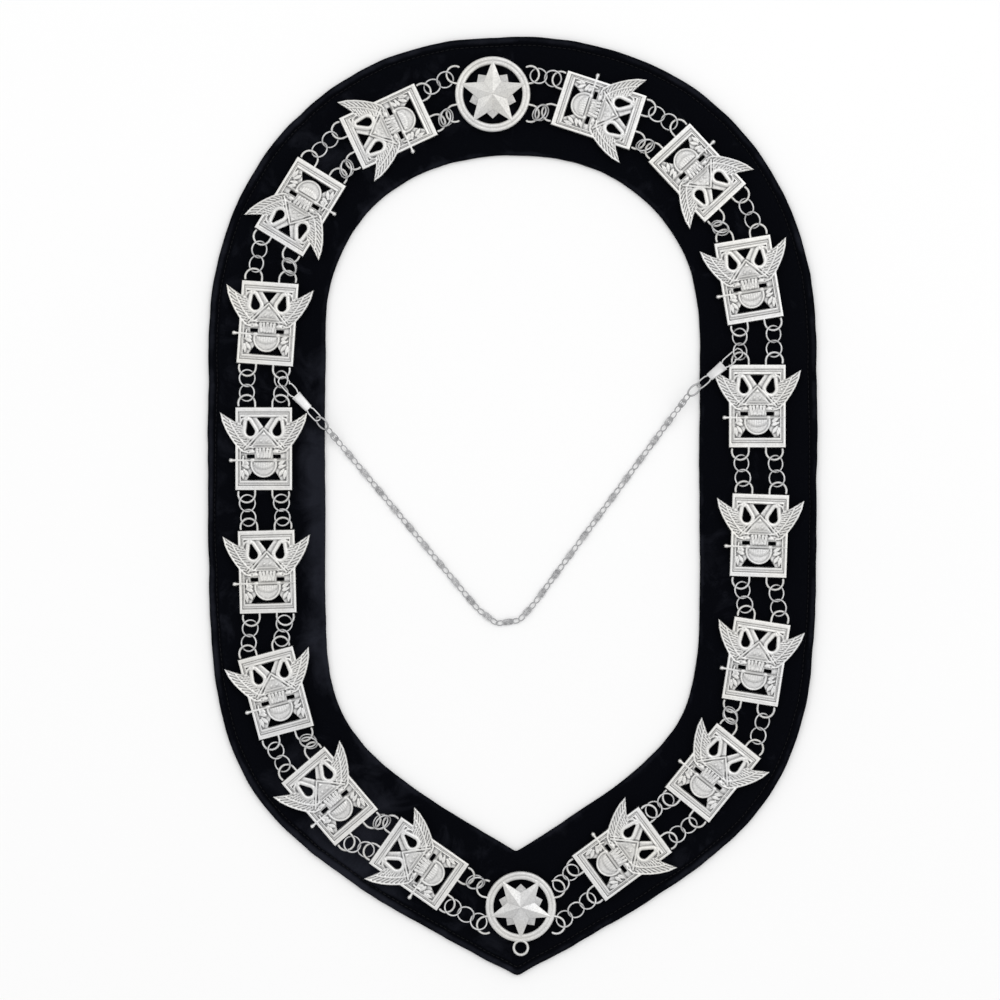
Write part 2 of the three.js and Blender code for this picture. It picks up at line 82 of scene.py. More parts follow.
# Where each casting lies: its name, its place in shares of the station pitch, and the turn in
# degrees of the side where the eagle's heads are
STATIONS = (
    ("medallion_nape", -0.161, 3.363, 0),
    ("plaque_left_1", -1.011, 3.098, 115),
    ("plaque_left_2", -1.73, 2.445, 148.5),
    ("plaque_left_3", -1.997, 1.493, -4),
    ("plaque_left_4", -2.028, 0.471, 0),
    ("plaque_left_5", -2.0, -0.532, 1.5),
    ("plaque_left_6", -1.929, -1.521, 15),
    ("plaque_left_7", -1.49, -2.362, 40.5),
    ("plaque_left_8", -0.763, -2.913, 55),
    ("medallion_front", 0.068, -3.264, 0),
    ("plaque_right_8", 0.893, -2.833, -53.6),
    ("plaque_right_7", 1.634, -2.171, -39),
    ("plaque_right_6", 1.986, -1.265, -9),
    ("plaque_right_5", 2.013, -0.237, -2),
    ("plaque_right_4", 1.996, 0.819, 0),
    ("plaque_right_3", 1.927, 1.847, 9.5),
    ("plaque_right_2", 1.506, 2.721, -137),
    ("plaque_right_1", 0.703, 3.231, -108),
)

# Each clip: its name, the strand that it hangs on, and its heading, roll and rise in degrees
CLIPS = (
    ("clip_left", "rings_inner_04", 133, 12, 3),
    ("clip_right", "rings_inner_15", 40, -12, -2),
)

# The lowest part of the cross chain: its middle in shares of the station pitch, and its length
CHAIN_DIP = (-0.064, -0.948)
CHAIN_FLAT = 20.0


# Sizes and colours

class VelvetSizes(bpy.types.PropertyGroup):
    hem_inset: bpy.props.FloatProperty(
        name="Hem inset", description="From the outer edge to the stitched groove",
        default=5.5 * MM, unit="LENGTH")
    hem_groove: bpy.props.FloatProperty(
        name="Groove depth", description="How deep the stitching pulls the velvet in",
        default=1.3 * MM, unit="LENGTH")
    crease_depth: bpy.props.FloatProperty(
        name="Crease depth", description="How far the soft creases sink",
        default=0.7 * MM, unit="LENGTH")
    stitch_pitch: bpy.props.FloatProperty(
        name="Stitch pitch", description="From one stitch to the next",
        default=3.2 * MM, unit="LENGTH")
    pile: bpy.props.FloatVectorProperty(
        name="Pile", description="Colour of the pile seen end on",
        default=(0.0014, 0.0017, 0.0030), subtype="COLOR")
    # The paler velvet colour, which also paints the highlight along the hems
    pale_pile_and_light: bpy.props.FloatVectorProperty(
        name="Brushed pile", description="Colour where the pile lies over",
        default=(0.0145, 0.0158, 0.0225), subtype="COLOR")


class CastingSizes(bpy.types.PropertyGroup):
    plaque_length: bpy.props.FloatProperty(
        name="Plaque length", description="Length of a plaque's frame",
        default=53.4 * MM, unit="LENGTH")
    plaque_width: bpy.props.FloatProperty(
        name="Plaque width", description="Width of a plaque's frame",
        default=36.4 * MM, unit="LENGTH")
    end_bar: bpy.props.FloatProperty(
        name="End bar", description="Width of the frame's moulding at both ends",
        default=6.4 * MM, unit="LENGTH")
    side_bar: bpy.props.FloatProperty(
        name="Side bar", description="Width of the frame's moulding at both sides",
        default=3.7 * MM, unit="LENGTH")
    nape_radius: bpy.props.FloatProperty(
        name="Nape medallion", description="Radius of the medallion at the nape",
        default=24.2 * MM, unit="LENGTH")
    front_radius: bpy.props.FloatProperty(
        name="Front medallion", description="Radius of the medallion in front",
        default=22.7 * MM, unit="LENGTH")
    silver: bpy.props.FloatVectorProperty(
        name="Silver", description="Colour of the cast silver",
        default=(0.73, 0.73, 0.73), subtype="COLOR")
    # Colour of the painted shade down in the relief's hollows
    hollow_shade_colour: bpy.props.FloatVectorProperty(
        name="Hollows", description="Colour of the silver down in the relief",
        default=(0.24, 0.24, 0.245), subtype="COLOR")


class WireSizes(bpy.types.PropertyGroup):
    hook_radius: bpy.props.FloatProperty(
        name="Hook radius", description="Middle radius of a cast hook",
        default=5.4 * MM, unit="LENGTH")
    hook_wire: bpy.props.FloatProperty(
        name="Hook wire", description="Diameter of a cast hook",
        default=1.5 * MM, unit="LENGTH")
    ring_radius: bpy.props.FloatProperty(
        name="Ring radius", description="Middle radius of a free jump ring",
        default=5.3 * MM, unit="LENGTH")
    ring_wire: bpy.props.FloatProperty(
        name="Ring wire", description="Diameter of a jump ring's wire",
        default=1.15 * MM, unit="LENGTH")
    clip_wire: bpy.props.FloatProperty(
        name="Clip wire", description="Diameter of a clip's wire",
        default=1.0 * MM, unit="LENGTH")
    link_pitch: bpy.props.FloatProperty(
        name="Link pitch", description="Length of one link of the cross chain along the chain",
        default=14.9 * MM, unit="LENGTH")
    link_width: bpy.props.FloatProperty(
        name="Link width", description="Width of a link of the cross chain",
        default=4.2 * MM, unit="LENGTH")


class StageLook(bpy.types.PropertyGroup):
    floor: bpy.props.FloatVectorProperty(
        name="Floor", description="Colour of the floor",
        default=(0.93, 0.93, 0.93), subtype="COLOR")
    sky: bpy.props.FloatProperty(
        name="Sky", description="Strength of the even light from all round", default=0.83)
    lamp: bpy.props.FloatProperty(
        name="Lamp", description="Power of the large lamp above", default=40.0, unit="POWER")


# Meshes

def new_piece(name, points, faces, smooth_below=40.0):
    """An object named for its piece, from points in millimetres."""
    mesh = bpy.data.meshes.new(name)
    mesh.from_pydata([tuple(c * MM for c in p) for p in points], [], [tuple(f) for f in faces])
    mesh.validate()
    mesh.shade_smooth()
    mesh.set_sharp_from_angle(angle=math.radians(smooth_below))
    piece = bpy.data.objects.new(name, mesh)
    bpy.context.scene.collection.objects.link(piece)
    return piece


def store(mesh, name, values):
    """Stores a number for each vertex, which the material reads."""
    layer = mesh.attributes.new(name, "FLOAT", "POINT")
    layer.data.foreach_set("value", np.asarray(values, np.float32))


def settle(piece, nodes, look):
    """Gives a finished piece its look and puts it in place of its CAD nodes."""
    if not piece.data.materials:
        piece.data.materials.append(look)
    if nodes:
        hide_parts(*nodes)
    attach(piece, "root")


class Parts:
    """Points and faces that are gathered for one mesh."""

    def __init__(self):
        self.points = []
        self.faces = []

    def add(self, points, faces, place=None):
        start = len(self.points)
        for p in points:
            v = Vector(p)
            self.points.append(place @ v if place else v)
        self.faces.extend([start + i for i in face] for face in faces)


def smooth_path(points, per_span=6):
    """A Catmull-Rom curve through the points."""
    points = [Vector(p) for p in points]
    path = []
    for i, (b, c) in enumerate(zip(points[:-1], points[1:])):
        a = points[i - 1] if i > 0 else 2 * b - c
        d = points[i + 2] if i + 2 < len(points) else 2 * c - b
        for k in range(per_span):
            t = k / per_span
            path.append(0.5 * (2 * b + (c - a) * t + (2 * a - 5 * b + 4 * c - d) * t ** 2
                               + (3 * b - a - 3 * c + d) * t ** 3))
    path.append(points[-1])
    return path


def wire_sections(path, closed):
    """A wire's place, direction, side, top and share of its radius at each point of its path."""
    sections = []
    side = None
    for i, point in enumerate(path):
        before = path[i - 1] if closed or i > 0 else point
        after = path[(i + 1) % len(path)] if closed or i < len(path) - 1 else point
        along = (after - before).normalized()
        if side is None:
            side = along.cross(Vector((0, 0, 1)))
            side = side.normalized() if side.length > 0.1 else along.orthogonal().normalized()
        side = (side - along * side.dot(along)).normalized()
        sections.append((point, along, side, side.cross(along).normalized(), 1.0))
    return sections


def narrowed(section, reach, share):
    """A wire's section moved along the wire, with a share of its radius."""
    point, along, side, top, _ = section
    return point + reach * along, along, side, top, share


def wire(path, radius, closed=False, sides=10, round_ends=True):
    """A round wire along a path. An open one has domed ends, unless they are left flat."""
    sections = wire_sections(path, closed)
    if not closed and round_ends:
        first, last = sections[0], sections[-1]
        for out, share in ((0.35, 0.94), (0.75, 0.66), (0.96, 0.28)):
            sections.insert(0, narrowed(first, -out * radius, share))
            sections.append(narrowed(last, out * radius, share))
    points, faces = [], []
    for centre, _, side, top, share in sections:
        for k in range(sides):
            a = 2 * math.pi * k / sides
            points.append(centre + radius * share * (math.cos(a) * side + math.sin(a) * top))
    total = len(sections)
    for i in range(total if closed else total - 1):
        here, there = i * sides, ((i + 1) % total) * sides
        for k in range(sides):
            kk = (k + 1) % sides
            faces.append((here + k, there + k, there + kk, here + kk))
    if not closed:
        faces.append(tuple(range(sides)))
        faces.append(tuple(reversed(range((total - 1) * sides, total * sides))))
    return points, faces


def circle(radius, count, squeeze=1.0):
    angles = (2 * math.pi * i / count for i in range(count))
    return [Vector((radius * math.cos(a), radius * squeeze * math.sin(a), 0)) for a in angles]


def soft_corner(value, power):
    """A cosine or sine drawn towards 1 or -1, which squares up an oval."""
    return math.copysign(abs(value) ** power, value)


def squared_oval(half_length, half_width, count, power=0.6):
    """An oval in the XY plane with squarer ends."""
    angles = (2 * math.pi * k / count for k in range(count))
    return [Vector((half_length * soft_corner(math.cos(a), power),
                    half_width * soft_corner(math.sin(a), power), 0)) for a in angles]


def looped_rows(rows, per_row):
    """Faces of a closed tube whose rows of points are closed too."""
    faces = []
    for i in range(rows):
        here, there = i * per_row, ((i + 1) % rows) * per_row
        for k in range(per_row):
            kk = (k + 1) % per_row
            faces.append((here + k, here + kk, there + kk, there + k))
    return faces


def revolved(profile, count):
    """A closed profile of (radius, height) turned round the Z axis."""
    points = []
    for i in range(count):
        a = 2 * math.pi * i / count
        points += [Vector((r * math.cos(a), r * math.sin(a), z)) for r, z in profile]
    return points, looped_rows(count, len(profile))


# Velvet band

EDGE_ROUND = 1.5

# Distances of the hems' points from each edge, and how many points lie between the hems
OUTER_HEM = (0, 0.25, 0.7, 1.4, 2.3, 3.3, 4.3, 4.9, 5.3, 5.6, 6.0, 6.6, 7.5, 8.8, 10.5)
INNER_HEM = (6.5, 4.8, 3.4, 2.2, 1.2, 0.5, 0)
MIDDLE_POINTS, MIDDLE_GAP = 12, 2

# The back's points from the inner edge to the outer: the upper point that each one lies below,
# and its height
BACK_POINTS = ((-1, 0.7), (-2, 0.2), (4, 0), (2, 0), (0, 0.7))


def run_along(line):
    """How far along a line each of its places lies."""
    return np.concatenate([[0], np.cumsum(np.linalg.norm(np.diff(line, axis=0), axis=1))])


def inward_ways(outer, inner):
    """The direction from each place of the outer edge straight across the band."""
    across = inner - outer
    return across / np.linalg.norm(across, axis=1)[:, None]


def half_edge(edge):
    """One side of an edge from the nape to the point, as an array of places in millimetres."""
    roundness = 2 / 2.2
    a = np.linspace(0, math.pi / 2, 91)
    sine, cosine = np.clip(np.sin(a), 0, 1), np.clip(np.cos(a), 0, 1)
    arch = np.stack([edge["half_width"] * sine ** roundness,
                     edge["arch_y"] + edge["arch_rise"] * cosine ** roundness], 1)
    t = np.linspace(0, 1, 111)[:, None]
    corners = [(edge["half_width"], edge["side_end"]), (edge["half_width"], edge["side_handle"]),
               edge["tip_handle"], (0, edge["tip"])]
    p0, p1, p2, p3 = (np.array(c) for c in corners)
    lower = (1 - t) ** 3 * p0 + 3 * (1 - t) ** 2 * t * p1 + 3 * (1 - t) * t ** 2 * p2 + t ** 3 * p3
    return np.concatenate([arch, lower]) * PITCH


def even_edges(count=360):
    """Both edges of one side at places spread evenly along the band."""
    edges = half_edge(OUTER_EDGE), half_edge(INNER_EDGE)
    run = run_along(sum(edges) / 2)
    wanted = np.linspace(0, run[-1], count)
    return [np.stack([np.interp(wanted, run, edge[:, k]) for k in (0, 1)], 1) for edge in edges]


def soften_corner(loop, corner, reach):
    """Rounds a loop's corner by averaging the places on both sides of it."""
    run = np.linalg.norm(loop - loop[corner], axis=1)
    result = loop.copy()
    for i in np.where(run < 3 * reach)[0]:
        width = reach * math.exp(-(run[i] / (1.6 * reach)) ** 2) + 0.01
        weights = np.exp(-(np.linalg.norm(loop - loop[i], axis=1) / width) ** 2)
        result[i] = (loop * weights[:, None]).sum(0) / weights.sum()
    return result


def unevenness(x, y, seed):
    wide = noise.noise(Vector((x / 34, y / 34, seed)))
    return wide + 0.5 * noise.noise(Vector((x / 11, y / 11, seed)))


def band_loops():
    """The outer and the inner edge all the way round, anticlockwise, a little uneven as sewn."""
    outer, inner = even_edges()
    loops = []
    for edge, shape, reach in ((outer, OUTER_EDGE, 2.6), (inner, INNER_EDGE, 1.6)):
        left = edge[1:-1] * np.array([-1, 1])
        loop = np.concatenate([left, edge[::-1]])
        down = np.maximum(loop[:, 1] / (shape["tip"] * PITCH), 0)
        loop[:, 0] += shape["tip_shift"] * PITCH * down ** shape["tip_fade"]
        loops.append(soften_corner(loop, int(np.argmin(loop[:, 1])), reach))
    inward = inward_ways(*loops)
    for loop, seed, size in ((loops[0], 2.0, 0.75), (loops[1], 9.0, 0.6)):
        uneven = np.array([unevenness(x, y, seed) for x, y in loop])
        loop += inward * (size * uneven)[:, None]
    return loops


def swell(distance, middle, reach):
    """1 in the middle of a soft ridge, fading on both sides."""
    return math.exp(-((distance - middle) / reach) ** 2)


def velvet_height(x, y, from_outer, from_inner, sizes):
    """Height of the velvet's upper side, in millimetres, at a place on the band."""
    inset = sizes.hem_inset / MM
    z = THICKNESS
    z += 0.6 * swell(from_outer, 0.5 * inset, 0.42 * inset)
    z -= sizes.hem_groove / MM * swell(from_outer, inset, 0.75)
    z += 0.3 * swell(from_outer, 1.55 * inset, 1.9)
    z += 0.25 * swell(from_inner, 3.2, 2.2)
    place = Vector((x / 42, y / 42, 0))
    soft = noise.noise(place) + 0.5 * noise.noise(2.3 * place + Vector((3, 1, 0)))
    fold = noise.noise(Vector((x / 17, y / 23, 7)))
    sunk = max(0.0, 0.55 + 0.5 * soft) + 0.6 * max(0.0, 0.12 - abs(fold)) / 0.12
    inside = min(1.0, from_outer / 14, from_inner / 8)
    z -= sizes.crease_depth / MM * 0.75 * sunk * inside
    rolled = max(0.0, EDGE_ROUND - min(from_outer, from_inner))
    return z - EDGE_ROUND + math.sqrt(EDGE_ROUND ** 2 - rolled ** 2)


def paleness_and_hem_light_shade(x, y, from_outer, from_inner):
    """How much paler the velvet is painted: by the inner edge on the left and in a patch low on the
    left, less on the right; painted highlight along the hems' rolled edges, and painted shade in the
    stitched groove.
    """
    left = swell(from_inner, 5, 11) * (x < 0)
    left *= max(0.0, min(1.0, (y + 130) / 35, (75 - y) / 50))
    low = 0.45 * math.exp(-((x + 95) / 50) ** 2 - ((y + 215) / 45) ** 2)
    # Painted highlight on the raised outer hem and along the rolled inner edge
    hem = 0.5 * swell(from_outer, 2.2, 1.6) + 0.35 * swell(from_inner, 1.6, 1.3)
    # Painted shade in the stitched groove of the outer hem
    seam = 0.7 * swell(from_outer, 5.6, 1.1)
    return 1.05 * left + 1.6 * low + hem - seam - 0.22 * (x > 0)


def across_band(width):
    """Distances from the outer edge of the points across the band, close together at its hems."""
    middle = np.linspace(OUTER_HEM[-1] + MIDDLE_GAP, width - INNER_HEM[0] - MIDDLE_GAP, MIDDLE_POINTS)
    return [*OUTER_HEM, *middle, *(width - d for d in INNER_HEM)]


def build_velvet(sizes, look):
    """The band as one closed mesh, with its hems, its creases and a flat back."""
    points, nap = [], []
    outer_edge, inner_edge = band_loops()
    for outer, inner in zip(outer_edge, inner_edge):
        width = float(np.linalg.norm(inner - outer))
        top = []
        for d in across_band(width):
            x, y = outer + (inner - outer) * (d / width)
            top.append((x, y, velvet_height(x, y, d, width - d, sizes)))
            nap.append(paleness_and_hem_light_shade(x, y, d, width - d))
        points += top + [(*top[i][:2], z) for i, z in BACK_POINTS]
        nap += [0.0] * len(BACK_POINTS)
    rows = len(outer_edge)
    piece = new_piece("band_velvet", points, looped_rows(rows, len(points) // rows), 70)
    # How much paler the velvet is painted, with painted highlight and painted shade at the hems
    store(piece.data, "nap", nap)
    settle(piece, ["velvet_band"], look)


def build_stitches(sizes, look):
    """Short thread stitches along the groove of the outer hem."""
    outer, inner = band_loops()
    line = outer + inward_ways(outer, inner) * (sizes.hem_inset / MM)
    line = np.concatenate([line, line[:1]])
    run = run_along(line)
    pitch = sizes.stitch_pitch / MM
    height = THICKNESS - sizes.hem_groove / MM + 0.35
    parts = Parts()
    for k in range(int(run[-1] / pitch)):
        thread = []
        for share, rise in ((0.12, -0.3), (0.4, 0.0), (0.7, -0.3)):
            x, y = (np.interp((k + share) * pitch, run, line[:, c]) for c in (0, 1))
            thread.append(Vector((x, y, height + rise)))
        parts.add(*wire(thread, 0.24, sides=5))
    settle(new_piece("hem_stitches", parts.points, parts.faces), [], look)


# Relief of a plaque: every function takes arrays of places on the plaque, heads towards +Y

# A height below every form, for the places that a form leaves free
NOTHING = -9.0


def only(mask, height):
    return np.where(mask, height, NOTHING)


def ridge(distance, half, rise):
    """A rounded ridge along a line, from the distance to the line."""
    return rise * np.sqrt(np.clip(1 - (distance / half) ** 2, 0, 1))


def ribs(run, pitch):
    """Rounded ribs across a run, from 0 in the grooves to 1."""
    return np.abs(np.sin(math.pi * run / pitch))


def dome(away, half, rise, base):
    """A rounded form round a point or along a line, and nothing beside it."""
    return only(away < half, base + ridge(away, half, rise))


def along_line(corners, x, y):
    """Distance to a line of corners, and the run along it to the nearest place."""
    nearest = np.full(x.shape, 1e9)
    run = np.zeros(x.shape)
    start = 0.0
    for (ax, ay), (bx, by) in zip(corners[:-1], corners[1:]):
        length = math.hypot(bx - ax, by - ay)
        t = np.clip(((x - ax) * (bx - ax) + (y - ay) * (by - ay)) / length ** 2, 0, 1)
        distance = np.hypot(x - ax - t * (bx - ax), y - ay - t * (by - ay))
        closer = distance < nearest
        nearest = np.where(closer, distance, nearest)
        run = np.where(closer, start + t * length, run)
        start += length
    return nearest, run


def rod(corners, x, y, half, rise, base=2.3):
    return dome(along_line(corners, x, y)[0], half, rise, base)


def inside_outline(corners, x, y):
    """Distance to a closed outline, positive inside it."""
    distance, _ = along_line([*corners, corners[0]], x, y)
    inside = np.zeros(x.shape, bool)
    for (ax, ay), (bx, by) in zip(corners, corners[1:] + corners[:1]):
        if ay == by:
            continue
        crosses = (ay > y) != (by > y)
        inside ^= crosses & (x < ax + (y - ay) * (bx - ax) / (by - ay))
    return np.where(inside, distance, -distance)


def inside_drop(x, y, low, low_radius, high, high_radius):
    """Distance to a drop between two circles, positive inside it."""
    best = np.full(x.shape, -1e9)
    for t in np.linspace(0, 1, 13):
        cx, cy = low[0] + t * (high[0] - low[0]), low[1] + t * (high[1] - low[1])
        radius = low_radius + t * (high_radius - low_radius)
        best = np.maximum(best, radius - np.hypot(x - cx, y - cy))
    return best


class PlaqueRelief:
    """The cast plaque as a height over its back, with the outline and the pierced places."""

    ground = 2.0
    edge_roll = 0.5
    disc = (0.0, -9.95)
    disc_radius = 8.6
    moulding = ((0, 2.85), (0.06, 3.12), (0.4, 3.16), (0.46, 3.0), (0.5, 2.42), (0.56, 2.66),
                (0.66, 2.7), (0.7, 2.45), (0.75, 2.66), (0.86, 2.88), (0.96, 2.85), (1, 2.4))
    wing = [(28.1, 23.4), (26.9, 17.5), (24.6, 12.0), (21.6, 6.8), (18.2, 2.0), (14.2, -2.2),
            (9.0, -3.2), (6.0, 0.5), (10.5, 6.5), (12.6, 12.5), (14.4, 15.6), (19.1, 17.9)]
    wing_rim = [*wing[:5], (14.2, -2.0), (8.5, -3.9)]

    def __init__(self, sizes):
        self.half_width = sizes.plaque_width / MM / 2
        self.half_length = sizes.plaque_length / MM / 2
        self.side_bar = sizes.side_bar / MM
        self.end_bar = sizes.end_bar / MM

    def grid_lines(self, step=0.4):
        """Lines of the grid, with one on each edge of the moulding."""
        lines = []
        ways = ((self.half_width, self.side_bar, 28.8), (self.half_length, self.end_bar, 27.2))
        for half, bar, reach in ways:
            places = [half - share * bar for share, _ in self.moulding]
            fixed = sorted({round(s * p, 4) for p in places for s in (-1, 1)})
            even = [v for v in np.arange(-reach, reach + step, step)
                    if min(abs(v - f) for f in fixed) > 0.45 * step]
            lines.append(np.array(sorted(fixed + even)))
        return lines

    def head_hole(self, side, y):
        """Distance to the pierced drop between a head and the breast, positive inside it."""
        return inside_drop(side, y, (8.5, 11.0), 2.7, (9.9, 17.3), 0.55)

    def inside(self, x, y):
        """Distance to the plaque's outline and to its pierced places, positive in the metal."""
        side = np.abs(x)
        whole = np.maximum.reduce([
            np.minimum(self.half_width - side, self.half_length - np.abs(y)),
            inside_outline(self.wing, side, y),
            inside_drop(x, y, (-21.0, -7.4), 1.45, (-20.2, -7.4), 1.3),
            inside_drop(x, y, (-20.0, -7.4), 0.85, (-17.0, -7.4), 0.85)])
        top = inside_outline([(-4.4, 19.8), (4.4, 19.8), (0.0, 13.7)], x, y)
        slot = np.minimum(2.4 - np.abs(side - 8.4), 1.08 - np.abs(y + 4.9))
        low = inside_outline([(-10.7, -19.9), (10.7, -19.9), (7.3, -14.6), (-7.3, -14.6)], x, y)
        disc = self.disc_radius - np.hypot(x - self.disc[0], y - self.disc[1])
        holes = self.head_hole(side, y), top, slot, np.minimum(low, -disc)
        return np.minimum.reduce([whole, *(-hole for hole in holes)]) + 1e-4

    def frame_share(self, x, y):
        """0 on the frame's outer edge and 1 on its inner one."""
        return np.minimum((self.half_width - np.abs(x)) / self.side_bar,
                          (self.half_length - np.abs(y)) / self.end_bar)

    def wings(self, side, y):
        """A rim along the lower edge and two rows of slanting feathers with a rib between them."""
        edge, run = along_line(self.wing_rim, side, y)
        flight = 2.78 - 0.75 * (1 - ribs(run - 1.7 * edge, 3.1)) ** 1.5
        short = 2.85 - 0.65 * (1 - ribs(run - 0.9 * edge, 1.9)) ** 1.5
        height = np.where(edge < 5.0, flight, short)
        height = np.where(edge < 1.3, 2.6 + ridge(edge - 0.6, 0.75, 0.5), height)
        height = np.maximum(height, dome(np.abs(edge - 4.9), 0.55, 0.55, 2.6))
        return only(inside_outline(self.wing, side, y) > 0, height)

    def heads(self, side, y):
        """The necks round the pierced drops, with skull, eye and hooked beak."""
        hole = -self.head_hole(side, y)
        _, run = along_line([(4.0, 8.0), (5.5, 14.0), (8.5, 19.5)], side, y)
        neck = 2.3 + ridge(hole - 1.35, 1.5, 0.95) - 0.12 * ribs(run, 1.1)
        skull = dome(np.hypot((side - 10.9) / 1.25, y - 19.2), 1.95, 1.35, 2.1)
        eye = ridge(np.hypot(side - 10.9, y - 19.5) - 0.55, 0.3, 0.35)
        away, beak_run = along_line([(12.2, 19.5), (13.9, 19.0), (14.5, 17.3)], side, y)
        beak = 2.2 + ridge(away, np.clip(1.0 - 0.13 * beak_run, 0.4, 1), 1.0)
        return np.maximum.reduce([only(hole < 2.9, neck), skull - eye, only(away < 0.95, beak)])

    def breast(self, x, y):
        """The triangle on the breast, the crossed neck lines, the belt and the tail."""
        side = np.abs(x)
        edge = inside_outline([(-6.6, 2.0), (6.6, 2.0), (0.0, 12.2)], x, y)
        emblem = inside_outline([(-1.7, 8.6), (1.7, 8.6), (0.0, 11.4)], x, y)
        parts = [only(edge > -1.0, 2.5),
                 only(emblem > 0, 2.9 + 0.3 * np.clip(emblem, 0, 0.6)),
                 dome(np.hypot(side - 1.8, y - 5.2), 0.85, 0.6, 2.6),
                 rod([(-5.2, 2.75), (5.2, 2.75)], x, y, 0.6, 0.8, 2.5),
                 rod([(0.0, 12.9), (12.3, -0.3)], side, y, 0.66, 0.9, 2.45),
                 rod([(3.4, 11.4), (13.6, 0.7)], side, y, 0.42, 0.7, 2.45),
                 rod([(-10.2, 0.9), (10.2, 0.9)], x, y, 0.5, 0.75, 2.4),
                 only((side < 5.9) & (y < 0.5) & (y > -7.2), 2.35),
                 dome(np.hypot((side - 7.6) / 1.6, (y + 1.7) / 1.05), 1.3, 0.8, 2.3)]
        for top, end, half in ((0.0, 0.0, 1.15), (2.3, 1.8, 1.0), (4.5, 3.6, 1.0)):
            away, run = along_line([(top, -0.4), (end, -5.2)], side, y)
            shaft = 0.3 * np.exp(-(away / 0.2) ** 2)
            barbs = 0.1 * ribs(run - 0.8 * away, 0.8)
            parts.append(dome(away, half, 0.75, 2.45) - shaft - barbs)
        return np.maximum.reduce(parts)

    def sword(self, x, y):
        """The sword across the plaque, with its hilt past the frame, and the claws that hold it."""
        blade, _ = along_line([(-17.4, -7.45), (15.8, -7.2), (17.6, -7.2)], x, y)
        grip, run = along_line([(-21.0, -7.4), (-13.4, -7.4)], x, y)
        claw = np.hypot((np.abs(x) - 7.2) / 1.2, y + 7.3)
        return np.maximum.reduce([
            only(blade < 0.8, 2.5 + 0.85 * (1 - blade / 0.8)),
            dome(grip, 0.9, 1.0, 2.3) - 0.15 * ribs(run, 0.9),
            dome(np.hypot(x + 21.0, y + 7.4), 1.45, 1.5, 1.9),
            rod([(-13.0, -9.9), (-13.4, -7.4), (-13.0, -4.9)], x, y, 0.75, 1.1),
            dome(claw, 1.5, 1.35, 2.1) - 0.22 * ribs(np.abs(x) - 5.4, 1.2)])

    def rayed_disc(self, x, y):
        """A disc under the blade, with a smooth rim and a ribbed half-moon."""
        away = np.hypot(x - self.disc[0], y - self.disc[1])
        face = np.where(away > 7.2, 2.3 + ridge(away - 7.9, 0.75, 0.8), 2.3)
        moon = 1 - np.hypot(x / 6.6, (y + 8.6) / 4.6)
        raised = 2.65 + 0.4 * np.clip(moon / 0.25, 0, 1) - 0.22 * ribs(x, 1.5)
        face = np.where((moon > 0) & (y < -8.5), raised, face)
        return only((away < self.disc_radius) & (y < -7.0), face)

    def leaves(self, side, y):
        """Leaf blades beside the disc, each with a vein."""
        blades = []
        for base, tip in (((13.4, -7.6), (10.4, -9.6)), ((13.6, -10.6), (10.2, -11.9)),
                          ((12.6, -13.2), (9.6, -17.6)), ((13.9, -14.0), (13.1, -18.9))):
            away, run = along_line([base, tip], side, y)
            half = 0.55 + 0.8 * np.sin(math.pi * np.clip(run / 5.2, 0.08, 1))
            vein = 0.3 * np.exp(-(away / 0.25) ** 2)
            blades.append(dome(away, half, 0.9, 2.25) - vein)
        return np.maximum.reduce(blades)

    def height(self, x, y):
        """Height over the back, with the edges of all outlines rolled off."""
        side = np.abs(x)
        share = self.frame_share(x, y)
        on_frame = (share > 0) & (share < 1) & (inside_outline(self.wing, side, y) <= 0)
        base = np.where(on_frame, np.interp(share, *zip(*self.moulding)), self.ground)
        total = np.maximum.reduce([
            base, self.wings(side, y), self.heads(side, y), self.breast(x, y),
            self.rayed_disc(x, y), self.sword(x, y), self.leaves(side, y)])
        roll = self.edge_roll
        edge = np.clip(self.inside(x, y), 0, roll)
        return total - (roll - np.sqrt(roll ** 2 - (roll - edge) ** 2))

    def back(self, x, y):
        return np.where(self.frame_share(x, y) > -0.01, 0.0, 1.0)

    def hollow(self, x, y):
        """How far a place lies below what is round it, in millimetres; the silver look paints shade
        into the hollows by it, and a little highlight onto the ridges.
        """
        around = 0
        for k in range(8):
            a = k * math.pi / 4
            reach = 0.75 if k % 2 else 1.4
            height = self.height(x + reach * math.cos(a), y + reach * math.sin(a))
            around = around + np.clip(height, 1, 4)
        return around / 8 - self.height(x, y)


